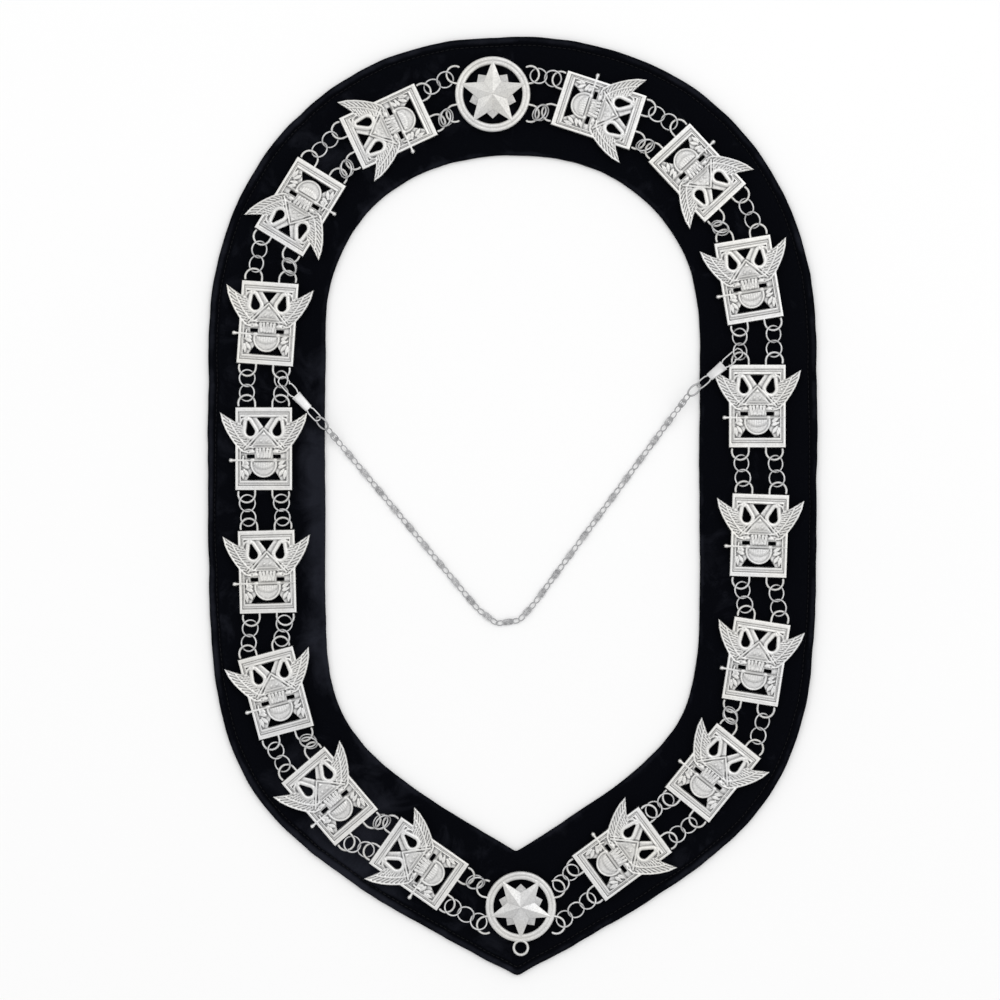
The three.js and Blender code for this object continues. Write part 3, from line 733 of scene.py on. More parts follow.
def relief_mesh(relief):
    """Closed mesh of a relief: its upper side cut exactly along the outline, walls and a back."""
    xs, ys = relief.grid_lines()
    depth = relief.inside(*np.meshgrid(xs, ys, indexing="ij"))
    places, index = [], {}

    def corner(here):
        if here not in index:
            index[here] = len(places)
            places.append((xs[here[0]], ys[here[1]]))
        return index[here]

    def crossing(here, there):
        key = tuple(sorted((here, there)))
        if key not in index:
            (i, j), (k, l) = here, there
            t = min(0.95, max(0.05, depth[here] / (depth[here] - depth[there])))
            index[key] = len(places)
            places.append((xs[i] + t * (xs[k] - xs[i]), ys[j] + t * (ys[l] - ys[j])))
        return index[key]

    tops, walls = [], []
    for i in range(len(xs) - 1):
        for j in range(len(ys) - 1):
            cell = ((i, j), (i + 1, j), (i + 1, j + 1), (i, j + 1))
            signs = [depth[c] > 0 for c in cell]
            if not any(signs):
                continue
            loop = []
            for k in range(4):
                here, there = cell[k], cell[(k + 1) % 4]
                if signs[k]:
                    loop.append((corner(here), False))
                if signs[k] != signs[(k + 1) % 4]:
                    loop.append((crossing(here, there), signs[k]))
            tops.append([p for p, _ in loop])
            for k, (p, goes_out) in enumerate(loop):
                if goes_out:
                    walls.append((p, loop[(k + 1) % len(loop)][0]))
    x, y = np.array(places).T
    upper = relief.height(x, y)
    lower = relief.back(x, y)
    count = len(places)
    points = list(zip(x, y, upper)) + list(zip(x, y, lower))
    faces = tops + [[count + p for p in reversed(face)] for face in tops]
    faces += [(b, a, count + a, count + b) for a, b in walls]
    # Depth of each place in a hollow, by which the silver look paints shade
    hollow = np.concatenate([relief.hollow(x, y), np.zeros(count)])
    return points, faces, hollow


# Cast hooks: each has its place on the casting, the way that it opens, its turn in degrees and
# the length of the leg that joins it to the frame

HOOK_BEYOND_FRAME = 2.3
HOOK_ROOT = 1.2
HOOK_SPAN = 21.8
RIM_WIDTH = 5.3


def hook_path(hook, wires):
    """Middle line of a cast C hook, at the height where the rings hang."""
    x, y, towards, turn, leg = hook
    reach = wires.hook_radius / MM
    angles = [math.radians(-104 + 194 * k / 15) for k in range(16)]
    path = [Vector((towards * reach * math.sin(a), reach * math.cos(a), 0)) for a in angles]
    path += [Vector((towards * reach, -leg * s, 0)) for s in (0.3, 0.65, 1)]
    place = Matrix.Translation((x, y, HOOK_PLANE)) @ Matrix.Rotation(math.radians(turn), 4, "Z")
    return [place @ p for p in path]


def plaque_hooks(sizes):
    x = HOOK_SPAN / 2
    y = sizes.plaque_length / MM / 2 + HOOK_BEYOND_FRAME
    leg = HOOK_BEYOND_FRAME + HOOK_ROOT
    return [(x, y, -1, 0, leg), (-x, y, 1, 0, leg), (x, -y, 1, 180, leg), (-x, -y, -1, 180, leg)]


def medallion_hooks(radius, wires):
    x, y = radius, 0.515 * radius
    leg = 0.35 * wires.hook_radius / MM + 0.3 * RIM_WIDTH
    return [(x, y, 1, -78, leg), (x, -y, -1, -102, leg), (-x, y, -1, 78, leg), (-x, -y, 1, 102, leg)]


def add_hooks(parts, hooks, wires):
    for hook in hooks:
        parts.add(*wire(hook_path(hook, wires), wires.hook_wire / MM / 2, sides=12))


def thin_back(mesh, least_z):
    """Joins the flat faces of the back, which need no grid."""
    bm = bmesh.new()
    bm.from_mesh(mesh)
    flat = {f for f in bm.faces if f.normal.z < -0.999 and f.calc_center_median().z < least_z}
    edges = [e for e in bm.edges if e.link_faces and all(f in flat for f in e.link_faces)]
    joined = set(edges)
    verts = [v for v in bm.verts if any(e in joined for e in v.link_edges)]
    bmesh.ops.dissolve_limit(bm, angle_limit=0.01, verts=verts, edges=edges)
    bm.to_mesh(mesh)
    bm.free()


def build_plaques(sizes, wires, look):
    """One casting with its relief and hooks, and a copy of it at every plaque's place."""
    points, faces, hollow = relief_mesh(PlaqueRelief(sizes))
    parts = Parts()
    parts.add(points, faces, Matrix.Translation((0, 0, FRAME_BACK)))
    add_hooks(parts, plaque_hooks(sizes), wires)
    casting = None
    for name, x, y, turn in STATIONS:
        if not name.startswith("plaque"):
            continue
        label = "eagle_" + name
        if casting is None:
            piece = new_piece(label, parts.points, parts.faces, 48)
            casting = piece.data
            # Painted shade by the depth of the relief's hollows; the hooks get none
            store(casting, "hollow", [*hollow, *[0.0] * (len(parts.points) - len(hollow))])
            thin_back(casting, (FRAME_BACK + 0.5) * MM)
        else:
            piece = bpy.data.objects.new(label, casting)
            bpy.context.scene.collection.objects.link(piece)
        piece.matrix_world = (Matrix.Translation((x * PITCH * MM, y * PITCH * MM, 0))
                              @ Matrix.Rotation(math.radians(turn), 4, "Z"))
        settle(piece, [name], look)


# Medallions

JEWEL_RING_RADIUS = 4.5
JEWEL_RING_WIRE = 1.8


def rim_profile(radius):
    """The moulded rim's section, from its outer edge inwards, then its back."""
    rows = ((0, 0.5), (0, 2.2), (0.05, 2.75), (0.14, 3.1), (0.26, 3.2), (0.4, 3.1), (0.47, 2.9),
            (0.51, 2.6), (0.55, 2.58), (0.61, 2.75), (0.72, 2.82), (0.86, 2.66), (0.97, 2.2),
            (1, 1.8), (1, 0.0), (0.1, 0.0))
    return [(radius - share * RIM_WIDTH, FRAME_BACK + z) for share, z in rows]


def star_arm(radius, turn, tip, shoulder, shoulder_turn, heights):
    """One pointed arm: a ridge from the middle to the tip and a slope to each shoulder."""

    def at(share, angle, z):
        a = math.radians(angle)
        return Vector((share * radius * math.cos(a), share * radius * math.sin(a), z))

    middle, point, valley, back = (FRAME_BACK + h for h in heights)
    upper = [Vector((0, 0, middle)), at(shoulder, turn - shoulder_turn, valley),
             at(tip, turn, point), at(shoulder, turn + shoulder_turn, valley)]
    lower = [Vector((p.x, p.y, back)) for p in upper]
    faces = [(0, 1, 2), (0, 2, 3), (1, 5, 6, 2), (2, 6, 7, 3), (3, 7, 4, 0), (0, 4, 5, 1), (4, 7, 6, 5)]
    return upper + lower, faces


def build_medallion(name, radius, point_up, wires, look):
    """A large star over a smaller one in a moulded rim. The front one has a jewel ring below."""
    parts = Parts()
    start = 90 if point_up else -90
    for k in range(5):
        turn = start + 36 + 72 * k
        parts.add(*star_arm(radius, turn, 0.648, 0.52, 18, (3.3, 2.1, 1.75, 0.7)))
    sunk = len(parts.points)
    for k in range(5):
        turn = start + 72 * k
        parts.add(*star_arm(radius, turn, 0.915, 0.4, 36, (5.4, 2.9, 2.55, 0.9)))
    parts.add(*revolved(rim_profile(radius), 96))
    add_hooks(parts, medallion_hooks(radius, wires), wires)
    if not point_up:
        drop = radius + JEWEL_RING_RADIUS - 0.6 * JEWEL_RING_WIRE
        ring = circle(JEWEL_RING_RADIUS, 40)
        parts.add(*wire(ring, JEWEL_RING_WIRE / 2, closed=True, sides=12),
                  Matrix.Translation((0, -drop, HOOK_PLANE)))
    piece = new_piece("star_" + name, parts.points, parts.faces, 20)
    # Painted shade on the sunk rear star, as in a hollow, and a little painted highlight on the rest
    store(piece.data, "hollow", [0.2] * sunk + [-0.05] * (len(parts.points) - sunk))
    x, y = next((s[1], s[2]) for s in STATIONS if s[0] == name)
    piece.matrix_world = Matrix.Translation((x * PITCH * MM, y * PITCH * MM, 0))
    bevel = piece.modifiers.new("Soft edges", "BEVEL")
    bevel.width = 0.14 * MM
    bevel.segments = 2
    bevel.limit_method = "ANGLE"
    bevel.angle_limit = math.radians(22)
    settle(piece, [name], look)


# Jump rings between two facing hooks

# A ring of the frame has ten sides, and two rings of a spread strand touch at their flats.
RING_SIDES = 10

# Two rings reach between hooks whose middles are this many ring radii from the nearest ring's
# middle, and below the second share of two ring diameters they lie nested.
PAIR_REACH = 1.69
NESTED_SHARE = 1.65

# How far the rings of a strand lean, in shares of the room that a ring needs over a hook
SPREAD_LEAN = 1.2
NESTED_ROLL, NESTED_PITCH, NESTED_DROP = 1.75, 1.9, 0.3
LEAN_AT_CLIP = -1.5


def station_hooks(station, sizes, wires):
    """The hooks' middles of one casting, in millimetres on the collar."""
    name, x, y, turn = station
    if name == "medallion_nape":
        hooks = medallion_hooks(sizes.nape_radius / MM, wires)
    elif name == "medallion_front":
        hooks = medallion_hooks(sizes.front_radius / MM, wires)
    else:
        hooks = plaque_hooks(sizes)
    place = Matrix.Translation((x * PITCH, y * PITCH, 0)) @ Matrix.Rotation(math.radians(turn), 4, "Z")
    return [place @ Vector((hook[0], hook[1], 0)) for hook in hooks]


def ring_room(wires):
    """The room that a ring's wire needs over a hook's wire, from middle to middle."""
    return wires.ring_wire / MM / 2 + wires.hook_wire / MM / 2 + WIRE_GAP


def spread_step(wires):
    """From one ring to the next in a strand that is pulled apart."""
    cosine = math.cos(math.pi / RING_SIDES)
    flat = wires.ring_radius / MM * 2 / (1 + cosine) * cosine
    return 2 * flat - wires.ring_wire / MM + CONTACT_OVERLAP


def ring_to_hook(span, count, wires):
    """From a hook's middle to the nearest ring's in a strand that is pulled apart."""
    return (span - (count - 1) * spread_step(wires)) / 2


def half_lens(radius, apart):
    """Half the width of the lens that two circles share, whose middles lie apart."""
    return math.sqrt(max(radius ** 2 - (apart / 2) ** 2, 0))


def spread_rings(span, count, lean, wires):
    """Rings pulled apart until they touch: along, lift, axis and tilt of each."""
    to_hook = ring_to_hook(span, count, wires)
    lens = half_lens(wires.ring_radius / MM, to_hook)
    tilt = math.atan(SPREAD_LEAN * ring_room(wires) / lens) * lean
    return [(to_hook + i * spread_step(wires), 0.0, 0.0, tilt if i % 2 else -tilt)
            for i in range(count)]


def nested_rings(span, wires):
    """Two rings almost one over the other, leaning together over the hooks."""
    radius, thick = wires.ring_radius / MM, wires.ring_wire / MM
    room = ring_room(wires)
    step = thick
    for _ in range(6):
        near, far = (span - step) / 2, (span + step) / 2
        roll = NESTED_ROLL * room / half_lens(radius, near)
        pitch = (NESTED_PITCH * room + roll * half_lens(radius, far)) / (span / 2)
        axis = math.atan2(pitch, roll)
        tilt = math.atan(math.hypot(roll, pitch))
        lift = pitch * near / 2 - NESTED_DROP * room
        step = (thick - CONTACT_OVERLAP) / math.cos(axis)
    return [((span - step) / 2, lift, axis, -tilt), ((span + step) / 2, lift, axis, tilt)]


def strand_rings(name, start, end, least, wires):
    """The places of one strand's rings, as matrices on the collar."""
    direction = end - start
    span = direction.length
    direction.normalize()
    radius = wires.ring_radius / MM
    count = 3 if ring_to_hook(span, 2, wires) > PAIR_REACH * radius else least
    lean = LEAN_AT_CLIP if any(clip[1] == name for clip in CLIPS) else 1
    if span < NESTED_SHARE * 2 * radius:
        rings = nested_rings(span, wires)
    else:
        rings = spread_rings(span, count, lean, wires)
    heading = math.atan2(direction.y, direction.x)
    places = []
    for along, lift, axis, tilt in rings:
        centre = start + direction * along
        places.append(Matrix.Translation((centre.x, centre.y, HOOK_PLANE + lift))
                      @ Matrix.Rotation(heading + axis, 4, "Z") @ Matrix.Rotation(tilt, 4, "X"))
    return places


def facing_hooks(station, neighbour, sizes, wires):
    """The two hooks of a casting that face its neighbour, the outer one first."""
    aim = Vector((neighbour[1] * PITCH, neighbour[2] * PITCH, 0))
    nearest = sorted(station_hooks(station, sizes, wires), key=lambda hook: (hook - aim).length)
    return sorted(nearest[:2], key=lambda hook: -hook.length)


def all_strands(sizes, wires):
    """Every strand's name with the places of its rings."""
    strands = {}
    for i, station in enumerate(STATIONS):
        following = STATIONS[(i + 1) % len(STATIONS)]
        starts = facing_hooks(station, following, sizes, wires)
        ends = facing_hooks(following, station, sizes, wires)
        beside_front = "medallion_front" in (station[0], following[0])
        for row, start, end in zip(("outer", "inner"), starts, ends):
            name = f"rings_{row}_{i + 1:02d}"
            least = 3 if beside_front and row == "outer" else 2
            strands[name] = strand_rings(name, start, end, least, wires)
    return strands


def open_ring(radius, opening, steps=44):
    """A jump ring's middle line, which starts and ends at the fine seam where the wire closes."""
    sweep = 2 * math.pi - 0.035
    angles = (opening + sweep * i / steps for i in range(steps + 1))
    return [Vector((radius * math.cos(a), radius * math.sin(a), 0)) for a in angles]


def build_rings(sizes, wires, look):
    """Each strand's jump rings, with their seams turned every way."""
    for n, (name, places) in enumerate(all_strands(sizes, wires).items()):
        parts = Parts()
        for k, place in enumerate(places):
            path = open_ring(wires.ring_radius / MM, math.radians(37 * n + 140 * k))
            parts.add(*wire(path, wires.ring_wire / MM / 2, round_ends=False), place)
        piece = new_piece("jump_" + name, parts.points, parts.faces)
        settle(piece, [name], look)


# Clips and cross chain

BIG_LOOP, BIG_LOOP_WIDTH = 15.0, 6.8
SMALL_LOOP, SMALL_LOOP_WIDTH = 9.6, 5.4
SLEEVE_LENGTH, SLEEVE_WIDE, SLEEVE_NARROW, SLEEVE_DEPTH = 12.0, 6.0, 4.6, 1.8
END_RING_LENGTH, END_RING_WIDTH, END_RING_WIRE = 11.0, 7.8, 1.2
END_RING_OVERLAP, FIRST_LINK_OVERLAP, END_RING_TILT = 2.6, 1.0, 38
CHAIN_HEIGHT, LINK_OVERLAP = 0.95, 0.7
# Painted shade on the chain's oval end rings and on its links' round loops
RING_PAINTED_SHADE, LOOP_PAINTED_SHADE = 0.35, 0.55
LINK_WIRE, LOOP_STEPS, LOOP_SIDES = 0.34, 24, 8

# The big loop's end lies past the middle of the ring that it holds, over the ring's wire.
CLIP_LIFT, CLIP_PIVOT = 2, 3

# Height of the cross chain from a clip to the dip: a share of the way, and the share of the
# clip's height that is left there
CHAIN_DROP = ((0.06, 0.42), (0.12, 0.1), (0.2, 0), (0.5, 0), (0.8, 0), (0.93, 0))


def clip_place(clip, strands):
    """Where a clip lies, as a matrix in millimetres."""
    _, strand, heading, roll, rise = clip
    ring = strands[strand][0].translation
    a, rise = math.radians(heading), math.radians(rise)
    reach = SLEEVE_LENGTH / 2 + BIG_LOOP - 0.15 * BIG_LOOP_WIDTH
    at = (ring.x - reach * math.cos(a), ring.y - reach * math.sin(a),
          HOOK_PLANE + CLIP_LIFT - (reach - CLIP_PIVOT) * math.sin(rise))
    return (Matrix.Translation(at) @ Matrix.Rotation(a, 4, "Z") @ Matrix.Rotation(-rise, 4, "Y")
            @ Matrix.Rotation(math.radians(roll), 4, "X"))


def loop_path(start, length, half_start, half_width, way, latch=0.0):
    """Middle line of a clip's wire loop; the latch is a small kink on one side."""
    bend = start + way * (length - half_width)
    legs = [(start - way * 2, half_start), (start + way * 0.5, half_start + 0.3),
            (start + way * half_width, half_width)]
    points = [(x, -way * y, 0) for x, y in legs]
    if latch:
        middle = start + way * 0.55 * length
        points += [(middle - 1.1, -way * half_width, 0), (middle, -way * (half_width - latch), 0),
                   (middle + 1.0, -way * half_width, 0)]
    for angle in (-80, -40, 0, 40, 80):
        a = math.radians(angle)
        points.append((bend + way * half_width * math.cos(a), way * half_width * math.sin(a), 0))
    points += [(x, way * y, 0) for x, y in reversed(legs)]
    return smooth_path(points)


def sleeve_mesh():
    """Folded sheet sleeve: a flattened tube, wider at the big loop, with a rolled lip."""
    points, faces = [], []
    stations = ((-1, 0.92), (-0.94, 1.0), (-0.5, 1.0), (0, 1.0), (0.5, 1.0), (0.9, 1.0),
                (0.93, 1.09), (1, 1.05))
    sides = 24
    for share, swelling in stations:
        width = SLEEVE_NARROW + (SLEEVE_WIDE - SLEEVE_NARROW) * (share + 1) / 2
        half_width = width / 2 * swelling + 0.35
        half_depth = SLEEVE_DEPTH / 2 * swelling
        for k in range(sides):
            a = 2 * math.pi * k / sides
            points.append((share * SLEEVE_LENGTH / 2, half_width * soft_corner(math.cos(a), 0.45),
                           half_depth * soft_corner(math.sin(a), 0.7)))
    for i in range(len(stations) - 1):
        here, there = i * sides, (i + 1) * sides
        for k in range(sides):
            kk = (k + 1) % sides
            faces.append((here + k, here + kk, there + kk, there + k))
    faces.append(tuple(reversed(range(sides))))
    faces.append(tuple(range((len(stations) - 1) * sides, len(stations) * sides)))
    return points, faces


def build_clips(strands, wires, look):
    radius = wires.clip_wire / MM / 2
    big = loop_path(SLEEVE_LENGTH / 2, BIG_LOOP, 0.3 * SLEEVE_WIDE,
                    (BIG_LOOP_WIDTH - 2 * radius) / 2, 1, latch=0.9)
    small = loop_path(-SLEEVE_LENGTH / 2, SMALL_LOOP, 0.3 * SLEEVE_NARROW,
                      (SMALL_LOOP_WIDTH - 2 * radius) / 2, -1)
    for clip in CLIPS:
        parts = Parts()
        place = clip_place(clip, strands)
        parts.add(*sleeve_mesh(), place)
        parts.add(*wire(big, radius), place)
        parts.add(*wire(small, radius), place)
        piece = new_piece("wire_" + clip[0], parts.points, parts.faces, 35)
        settle(piece, [clip[0]], look)


def chain_ends(strands):
    """Where the oval ring of each clip hangs, with its heading and the side that it leans to."""
    ends = []
    for clip in CLIPS:
        tip = clip_place(clip, strands) @ Vector((-SLEEVE_LENGTH / 2 - SMALL_LOOP, 0, 0))
        heading = math.radians(clip[2])
        away = Vector((-math.cos(heading), -math.sin(heading), 0))
        ends.append((tip, away, heading, math.copysign(1, clip[3])))
    return ends


def chain_route(ends):
    """The chain's middle line from the left clip to the right one."""
    ring_reach = END_RING_LENGTH - END_RING_OVERLAP - FIRST_LINK_OVERLAP
    left, right = (tip + away * ring_reach for tip, away, _, _ in ends)
    dip = Vector((CHAIN_DIP[0] * PITCH, CHAIN_DIP[1] * PITCH, CHAIN_HEIGHT))
    aside = Vector((CHAIN_FLAT / 2, 0, 0))

    def way_down(end, corner):
        places = []
        for share, height in CHAIN_DROP:
            place = end.lerp(corner, share)
            place.z = CHAIN_HEIGHT + height * (end.z - CHAIN_HEIGHT)
            places.append(place)
        return [end, *places]

    points = [*way_down(left, dip - aside), dip - 0.75 * aside, dip, dip + 0.75 * aside,
              *reversed(way_down(right, dip + aside))]
    return smooth_path(points, per_span=24)


def link_half(way, body, half_width):
    """The thin sheet in one half of a link's body, with a scroll on it, as two meshes."""
    centre = Vector((way * 0.6 * body, 0, 0))
    edge = [centre + p for p in squared_oval(0.36 * body, half_width, 16)]
    points = [p + Vector((0, 0, -0.3)) for p in edge]
    points += [centre + 0.85 * (p - centre) + Vector((0, 0, -0.1)) for p in edge]
    faces = [(k, (k + 1) % 16, 16 + (k + 1) % 16, 16 + k) for k in range(16)]
    faces += [tuple(range(16, 32)), tuple(reversed(range(16)))]
    scroll = []
    for k in range(14):
        a = math.radians((180 if way > 0 else 0) - 36 * k)
        share = 1 - 0.055 * k
        scroll.append(centre + Vector((0.34 * body * share * math.cos(a),
                                       0.72 * half_width * share * math.sin(a), 0.1)))
    return (points, faces), wire(scroll, 0.24, sides=6)


def link_mesh(length, width):
    """One flat link: a long open loop at each end of a body with scrolls and an open eyelet."""
    parts = Parts()
    half_width = width / 2 - LINK_WIRE
    reach = 0.155 * length
    middle = length / 2 - reach - LINK_WIRE
    body = middle - reach + 0.55
    loop = circle(reach, LOOP_STEPS, squeeze=0.86 * half_width / reach)
    for way in (-1, 1):
        parts.add(*wire(loop, LINK_WIRE, closed=True, sides=LOOP_SIDES),
                  Matrix.Translation((way * middle, 0, 0)))
    parts.add(*wire(squared_oval(body, half_width, 32), LINK_WIRE, closed=True, sides=6))
    parts.add(*wire(circle(0.75, 14), 0.26, closed=True, sides=6))
    for way in (-1, 1):
        for mesh in link_half(way, body, half_width):
            parts.add(*mesh)
    return parts.points, parts.faces


def link_places(route, link_pitch):
    """Where each link lies, as matrices, and the pitch at which whole links fill the route."""
    route = np.array(route)
    run = run_along(route)
    count = round(run[-1] / link_pitch)
    pitch = run[-1] / count
    stops = np.linspace(0, run[-1], count + 1)
    joints = np.stack([np.interp(stops, run, route[:, k]) for k in range(3)], 1)
    places = []
    for k in range(count):
        start, end = Vector(joints[k]), Vector(joints[k + 1])
        along = (end - start).normalized()
        side = Vector((0, 0, 1)).cross(along).normalized()
        turn = Matrix((along, side, along.cross(side))).transposed().to_4x4()
        tilt = Matrix.Rotation(math.radians(5 if k % 2 else -5), 4, "X")
        places.append(Matrix.Translation((start + end) / 2) @ turn @ tilt)
    return places, pitch


def build_chain(strands, wires, look):
    """The oval end rings and the flat links; painted shade makes the rings and the links' open loops
    darker than the links' bodies.
    """
    parts = Parts()
    ends = chain_ends(strands)
    half = (END_RING_LENGTH - END_RING_WIRE) / 2
    oval = circle(half, 40, squeeze=(END_RING_WIDTH - END_RING_WIRE) / 2 / half)
    for tip, away, heading, side in ends:
        centre = tip + away * (END_RING_LENGTH / 2 - END_RING_OVERLAP)
        place = (Matrix.Translation(centre) @ Matrix.Rotation(heading, 4, "Z")
                 @ Matrix.Rotation(math.radians(-END_RING_TILT * side), 4, "X"))
        parts.add(*wire(oval, END_RING_WIRE / 2, closed=True), place)
    # Painted shade for the end rings, then for each link's loops but not its body
    dark = [RING_PAINTED_SHADE] * len(parts.points)
    places, pitch = link_places(chain_route(ends), wires.link_pitch / MM)
    points, faces = link_mesh(pitch + LINK_OVERLAP, wires.link_width / MM)
    loops = 2 * LOOP_STEPS * LOOP_SIDES
    for place in places:
        parts.add(points, faces, place)
        dark += [LOOP_PAINTED_SHADE] * loops + [0.0] * (len(points) - loops)
    piece = new_piece("cross_chain_links", parts.points, parts.faces)
    store(piece.data, "dark", dark)
    settle(piece, ["cross_chain_left", "cross_chain_right"], look)


# Looks

class Value:
    """A number that varies over a surface; maths on it adds nodes."""

    def __init__(self, look, socket):
        self.look = look
        self.socket = socket

    def maths(self, operation, first, second, clamp=False):
        kind = {"operation": operation, "use_clamp": clamp}
        node = self.look.node("ShaderNodeMath", kind, {0: first, 1: second})
        return Value(self.look, node.outputs[0])

    def __add__(self, other):
        return self.maths("ADD", self, other)

    __radd__ = __add__

    def __sub__(self, other):
        return self.maths("SUBTRACT", self, other)

    def __rsub__(self, other):
        return self.maths("SUBTRACT", other, self)

    def __mul__(self, other):
        return self.maths("MULTIPLY", self, other)

    __rmul__ = __mul__

    def clamped(self):
        return self.maths("ADD", self, 0.0, clamp=True)


class Look:
    """A material and its nodes."""

    def __init__(self, name):
        self.material = bpy.data.materials.new(name)
        self.material.use_nodes = True
        self.tree = self.material.node_tree
        self.shader = self.tree.nodes["Principled BSDF"]

    def feed(self, socket, value):
        if isinstance(value, Value):
            value = value.socket
        if isinstance(value, bpy.types.NodeSocket):
            self.tree.links.new(value, socket)
        else:
            socket.default_value = value

    def node(self, kind, settings=None, sockets=None):
        """Any node: its settings first, then the values or links of its sockets."""
        node = self.tree.nodes.new(kind)
        for key, value in (settings or {}).items():
            if key == "stops":
                ramp = node.color_ramp
                while len(ramp.elements) < len(value):
                    ramp.elements.new(0.5)
                for element, (place, colour) in zip(ramp.elements, value):
                    element.position = place
                    element.color = (*colour, 1)
            else:
                setattr(node, key, value)
        for key, value in (sockets or {}).items():
            self.feed(node.inputs[key], value)
        return node

    def place(self):
        return self.node("ShaderNodeNewGeometry").outputs["Position"]

    def stored(self, name):
        """A number that the mesh holds for each vertex."""
        node = self.node("ShaderNodeAttribute", {"attribute_name": name})
        return Value(self, node.outputs["Fac"])

    def noise(self, scale, detail, roughness, distortion=0.0):
        node = self.node("ShaderNodeTexNoise", {}, {
            "Scale": scale, "Detail": detail, "Roughness": roughness, "Distortion": distortion,
            "Vector": self.place()})
        return Value(self, node.outputs["Fac"])

    def mix(self, factor, first, second):
        node = self.node("ShaderNodeMix", {"data_type": "RGBA"})
        self.feed(node.inputs["Factor"], factor)
        for key, colour in (("A", first), ("B", second)):
            sockets = [s for s in node.inputs if s.name == key and s.type == "RGBA"]
            self.feed(sockets[0], colour if isinstance(colour, bpy.types.NodeSocket) else (*colour, 1))
        return next(s for s in node.outputs if s.type == "RGBA")

    def bump(self, height, strength, distance, under=None):
        sockets = {"Height": height, "Strength": strength, "Distance": distance}
        if under is not None:
            sockets["Normal"] = under
        return self.node("ShaderNodeBump", {}, sockets).outputs["Normal"]

    def set(self, **values):
        for key, value in values.items():
            self.feed(self.shader.inputs[key.replace("_", " ")], value)


def silver_look(sizes):
    look = Look("cast_silver")
    hollow = look.stored("hollow")
    fine = look.noise(1100, 4, 0.6)
    cloud = look.noise(75, 3, 0.5)
    warm = look.noise(24, 2, 0.5)
    # Painted shade in the relief's hollows and a little painted highlight on its ridges, with cloudy
    # and fine random tone on top
    shade = (hollow * 1.3 + 0.22 + (cloud - 0.5) * 0.5 + (fine - 0.5) * 0.85).clamped()
    bright = look.mix((warm * 2.2 - 0.75).clamped(), tuple(sizes.silver), (0.74, 0.725, 0.68))
    colour = look.mix(shade, bright, tuple(sizes.hollow_shade_colour))
    look.set(Base_Color=colour, Metallic=1.0, Roughness=(0.38 + fine * 0.14 + shade * 0.2).clamped())
    pits = look.bump(fine, 0.3, 0.00025)
    look.set(Normal=look.bump(look.noise(260, 3, 0.55), 0.3, 0.0006, pits))
    return look.material


def wire_look():
    look = Look("drawn_silver_wire")
    fine = look.noise(1600, 3, 0.5)
    cloud = look.noise(120, 2, 0.5)
    colour = look.mix((cloud * 1.4 - 0.4).clamped(), (0.66, 0.66, 0.66), (0.42, 0.42, 0.43))
    look.set(Base_Color=colour, Metallic=1.0, Roughness=0.32 + fine * 0.18)
    look.set(Normal=look.bump(fine, 0.12, 0.0002))
    return look.material


def chain_look():
    look = Look("stamped_chain_silver")
    dark = look.stored("dark")
    fine = look.noise(1300, 3, 0.5)
    cloud = look.noise(260, 2, 0.5)
    body = look.mix((cloud * 1.5 - 0.3).clamped(), (0.62, 0.62, 0.625), (0.38, 0.38, 0.39))
    # Painted shade darkens the end rings and the links' loops, with fine random tone
    colour = look.mix((dark + (fine - 0.5) * 0.2).clamped(), body, (0.27, 0.27, 0.28))
    look.set(Base_Color=colour, Metallic=1.0, Roughness=0.34 + fine * 0.18)
    look.set(Normal=look.bump(fine, 0.2, 0.0002))
    return look.material


def velvet_look(sizes):
    look = Look("crushed_velvet")
    nap = look.stored("nap")
    crush = look.noise(38, 5, 0.62, 0.8)
    broad = look.noise(11, 3, 0.5, 0.3)
    pile = look.noise(1500, 2, 0.6)
    tufts = look.noise(170, 2, 0.5, 0.4)
    # The stored share brings painted highlight along the hems' rolled edges and painted shade in the
    # stitched groove
    patches = (crush - 0.5) * 2.4 + (broad - 0.52) * 1.6 + nap
    patches = (patches * (0.65 + tufts * 0.7)).clamped()
    pale_pile_and_light = (patches * 0.85 + (pile - 0.5) * 0.35).clamped()
    colour = look.mix(pale_pile_and_light, tuple(sizes.pile), tuple(sizes.pale_pile_and_light))
    look.set(Base_Color=colour, Roughness=(0.95 - pale_pile_and_light * 0.15).clamped(), Metallic=0.0)
    look.set(Specular_IOR_Level=0.03, Sheen_Weight=0.05, Sheen_Roughness=0.3,
             Sheen_Tint=(0.6, 0.65, 0.8, 1))
    rough = look.bump(pile, 0.45, 0.0004)
    look.set(Normal=look.bump(crush, 0.5, 0.0018, rough))
    return look.material


def thread_look():
    look = Look("black_thread")
    twist = look.node("ShaderNodeTexWave", {"wave_type": "BANDS", "bands_direction": "DIAGONAL"},
                      {"Scale": 900, "Vector": look.place()})
    strand = Value(look, twist.outputs["Fac"])
    colour = look.mix(strand, (0.001, 0.001, 0.002), (0.004, 0.004, 0.006))
    look.set(Base_Color=colour, Roughness=0.6 + strand * 0.2, Specular_IOR_Level=0.25)
    look.set(Normal=look.bump(strand, 0.4, 0.0001))
    return look.material


def floor_look(colour):
    look = Look("pale_floor")
    grain = look.noise(6, 2, 0.5)
    pale = look.mix(grain, tuple(colour), tuple(0.99 * c for c in colour))
    look.set(Base_Color=pale, Roughness=0.9, Specular_IOR_Level=0.1)
    return look.material


# Stage

def build_floor(colour):
    reach, drop = 4.0, -0.0003
    corners = [(x * reach, y * reach, drop) for x, y in ((-1, -1), (1, -1), (1, 1), (-1, 1))]
    mesh = bpy.data.meshes.new("floor")
    mesh.from_pydata(corners, [], [(0, 1, 2, 3)])
    mesh.materials.append(floor_look(colour))
    floor = bpy.data.objects.new("floor", mesh)
    bpy.context.scene.collection.objects.link(floor)


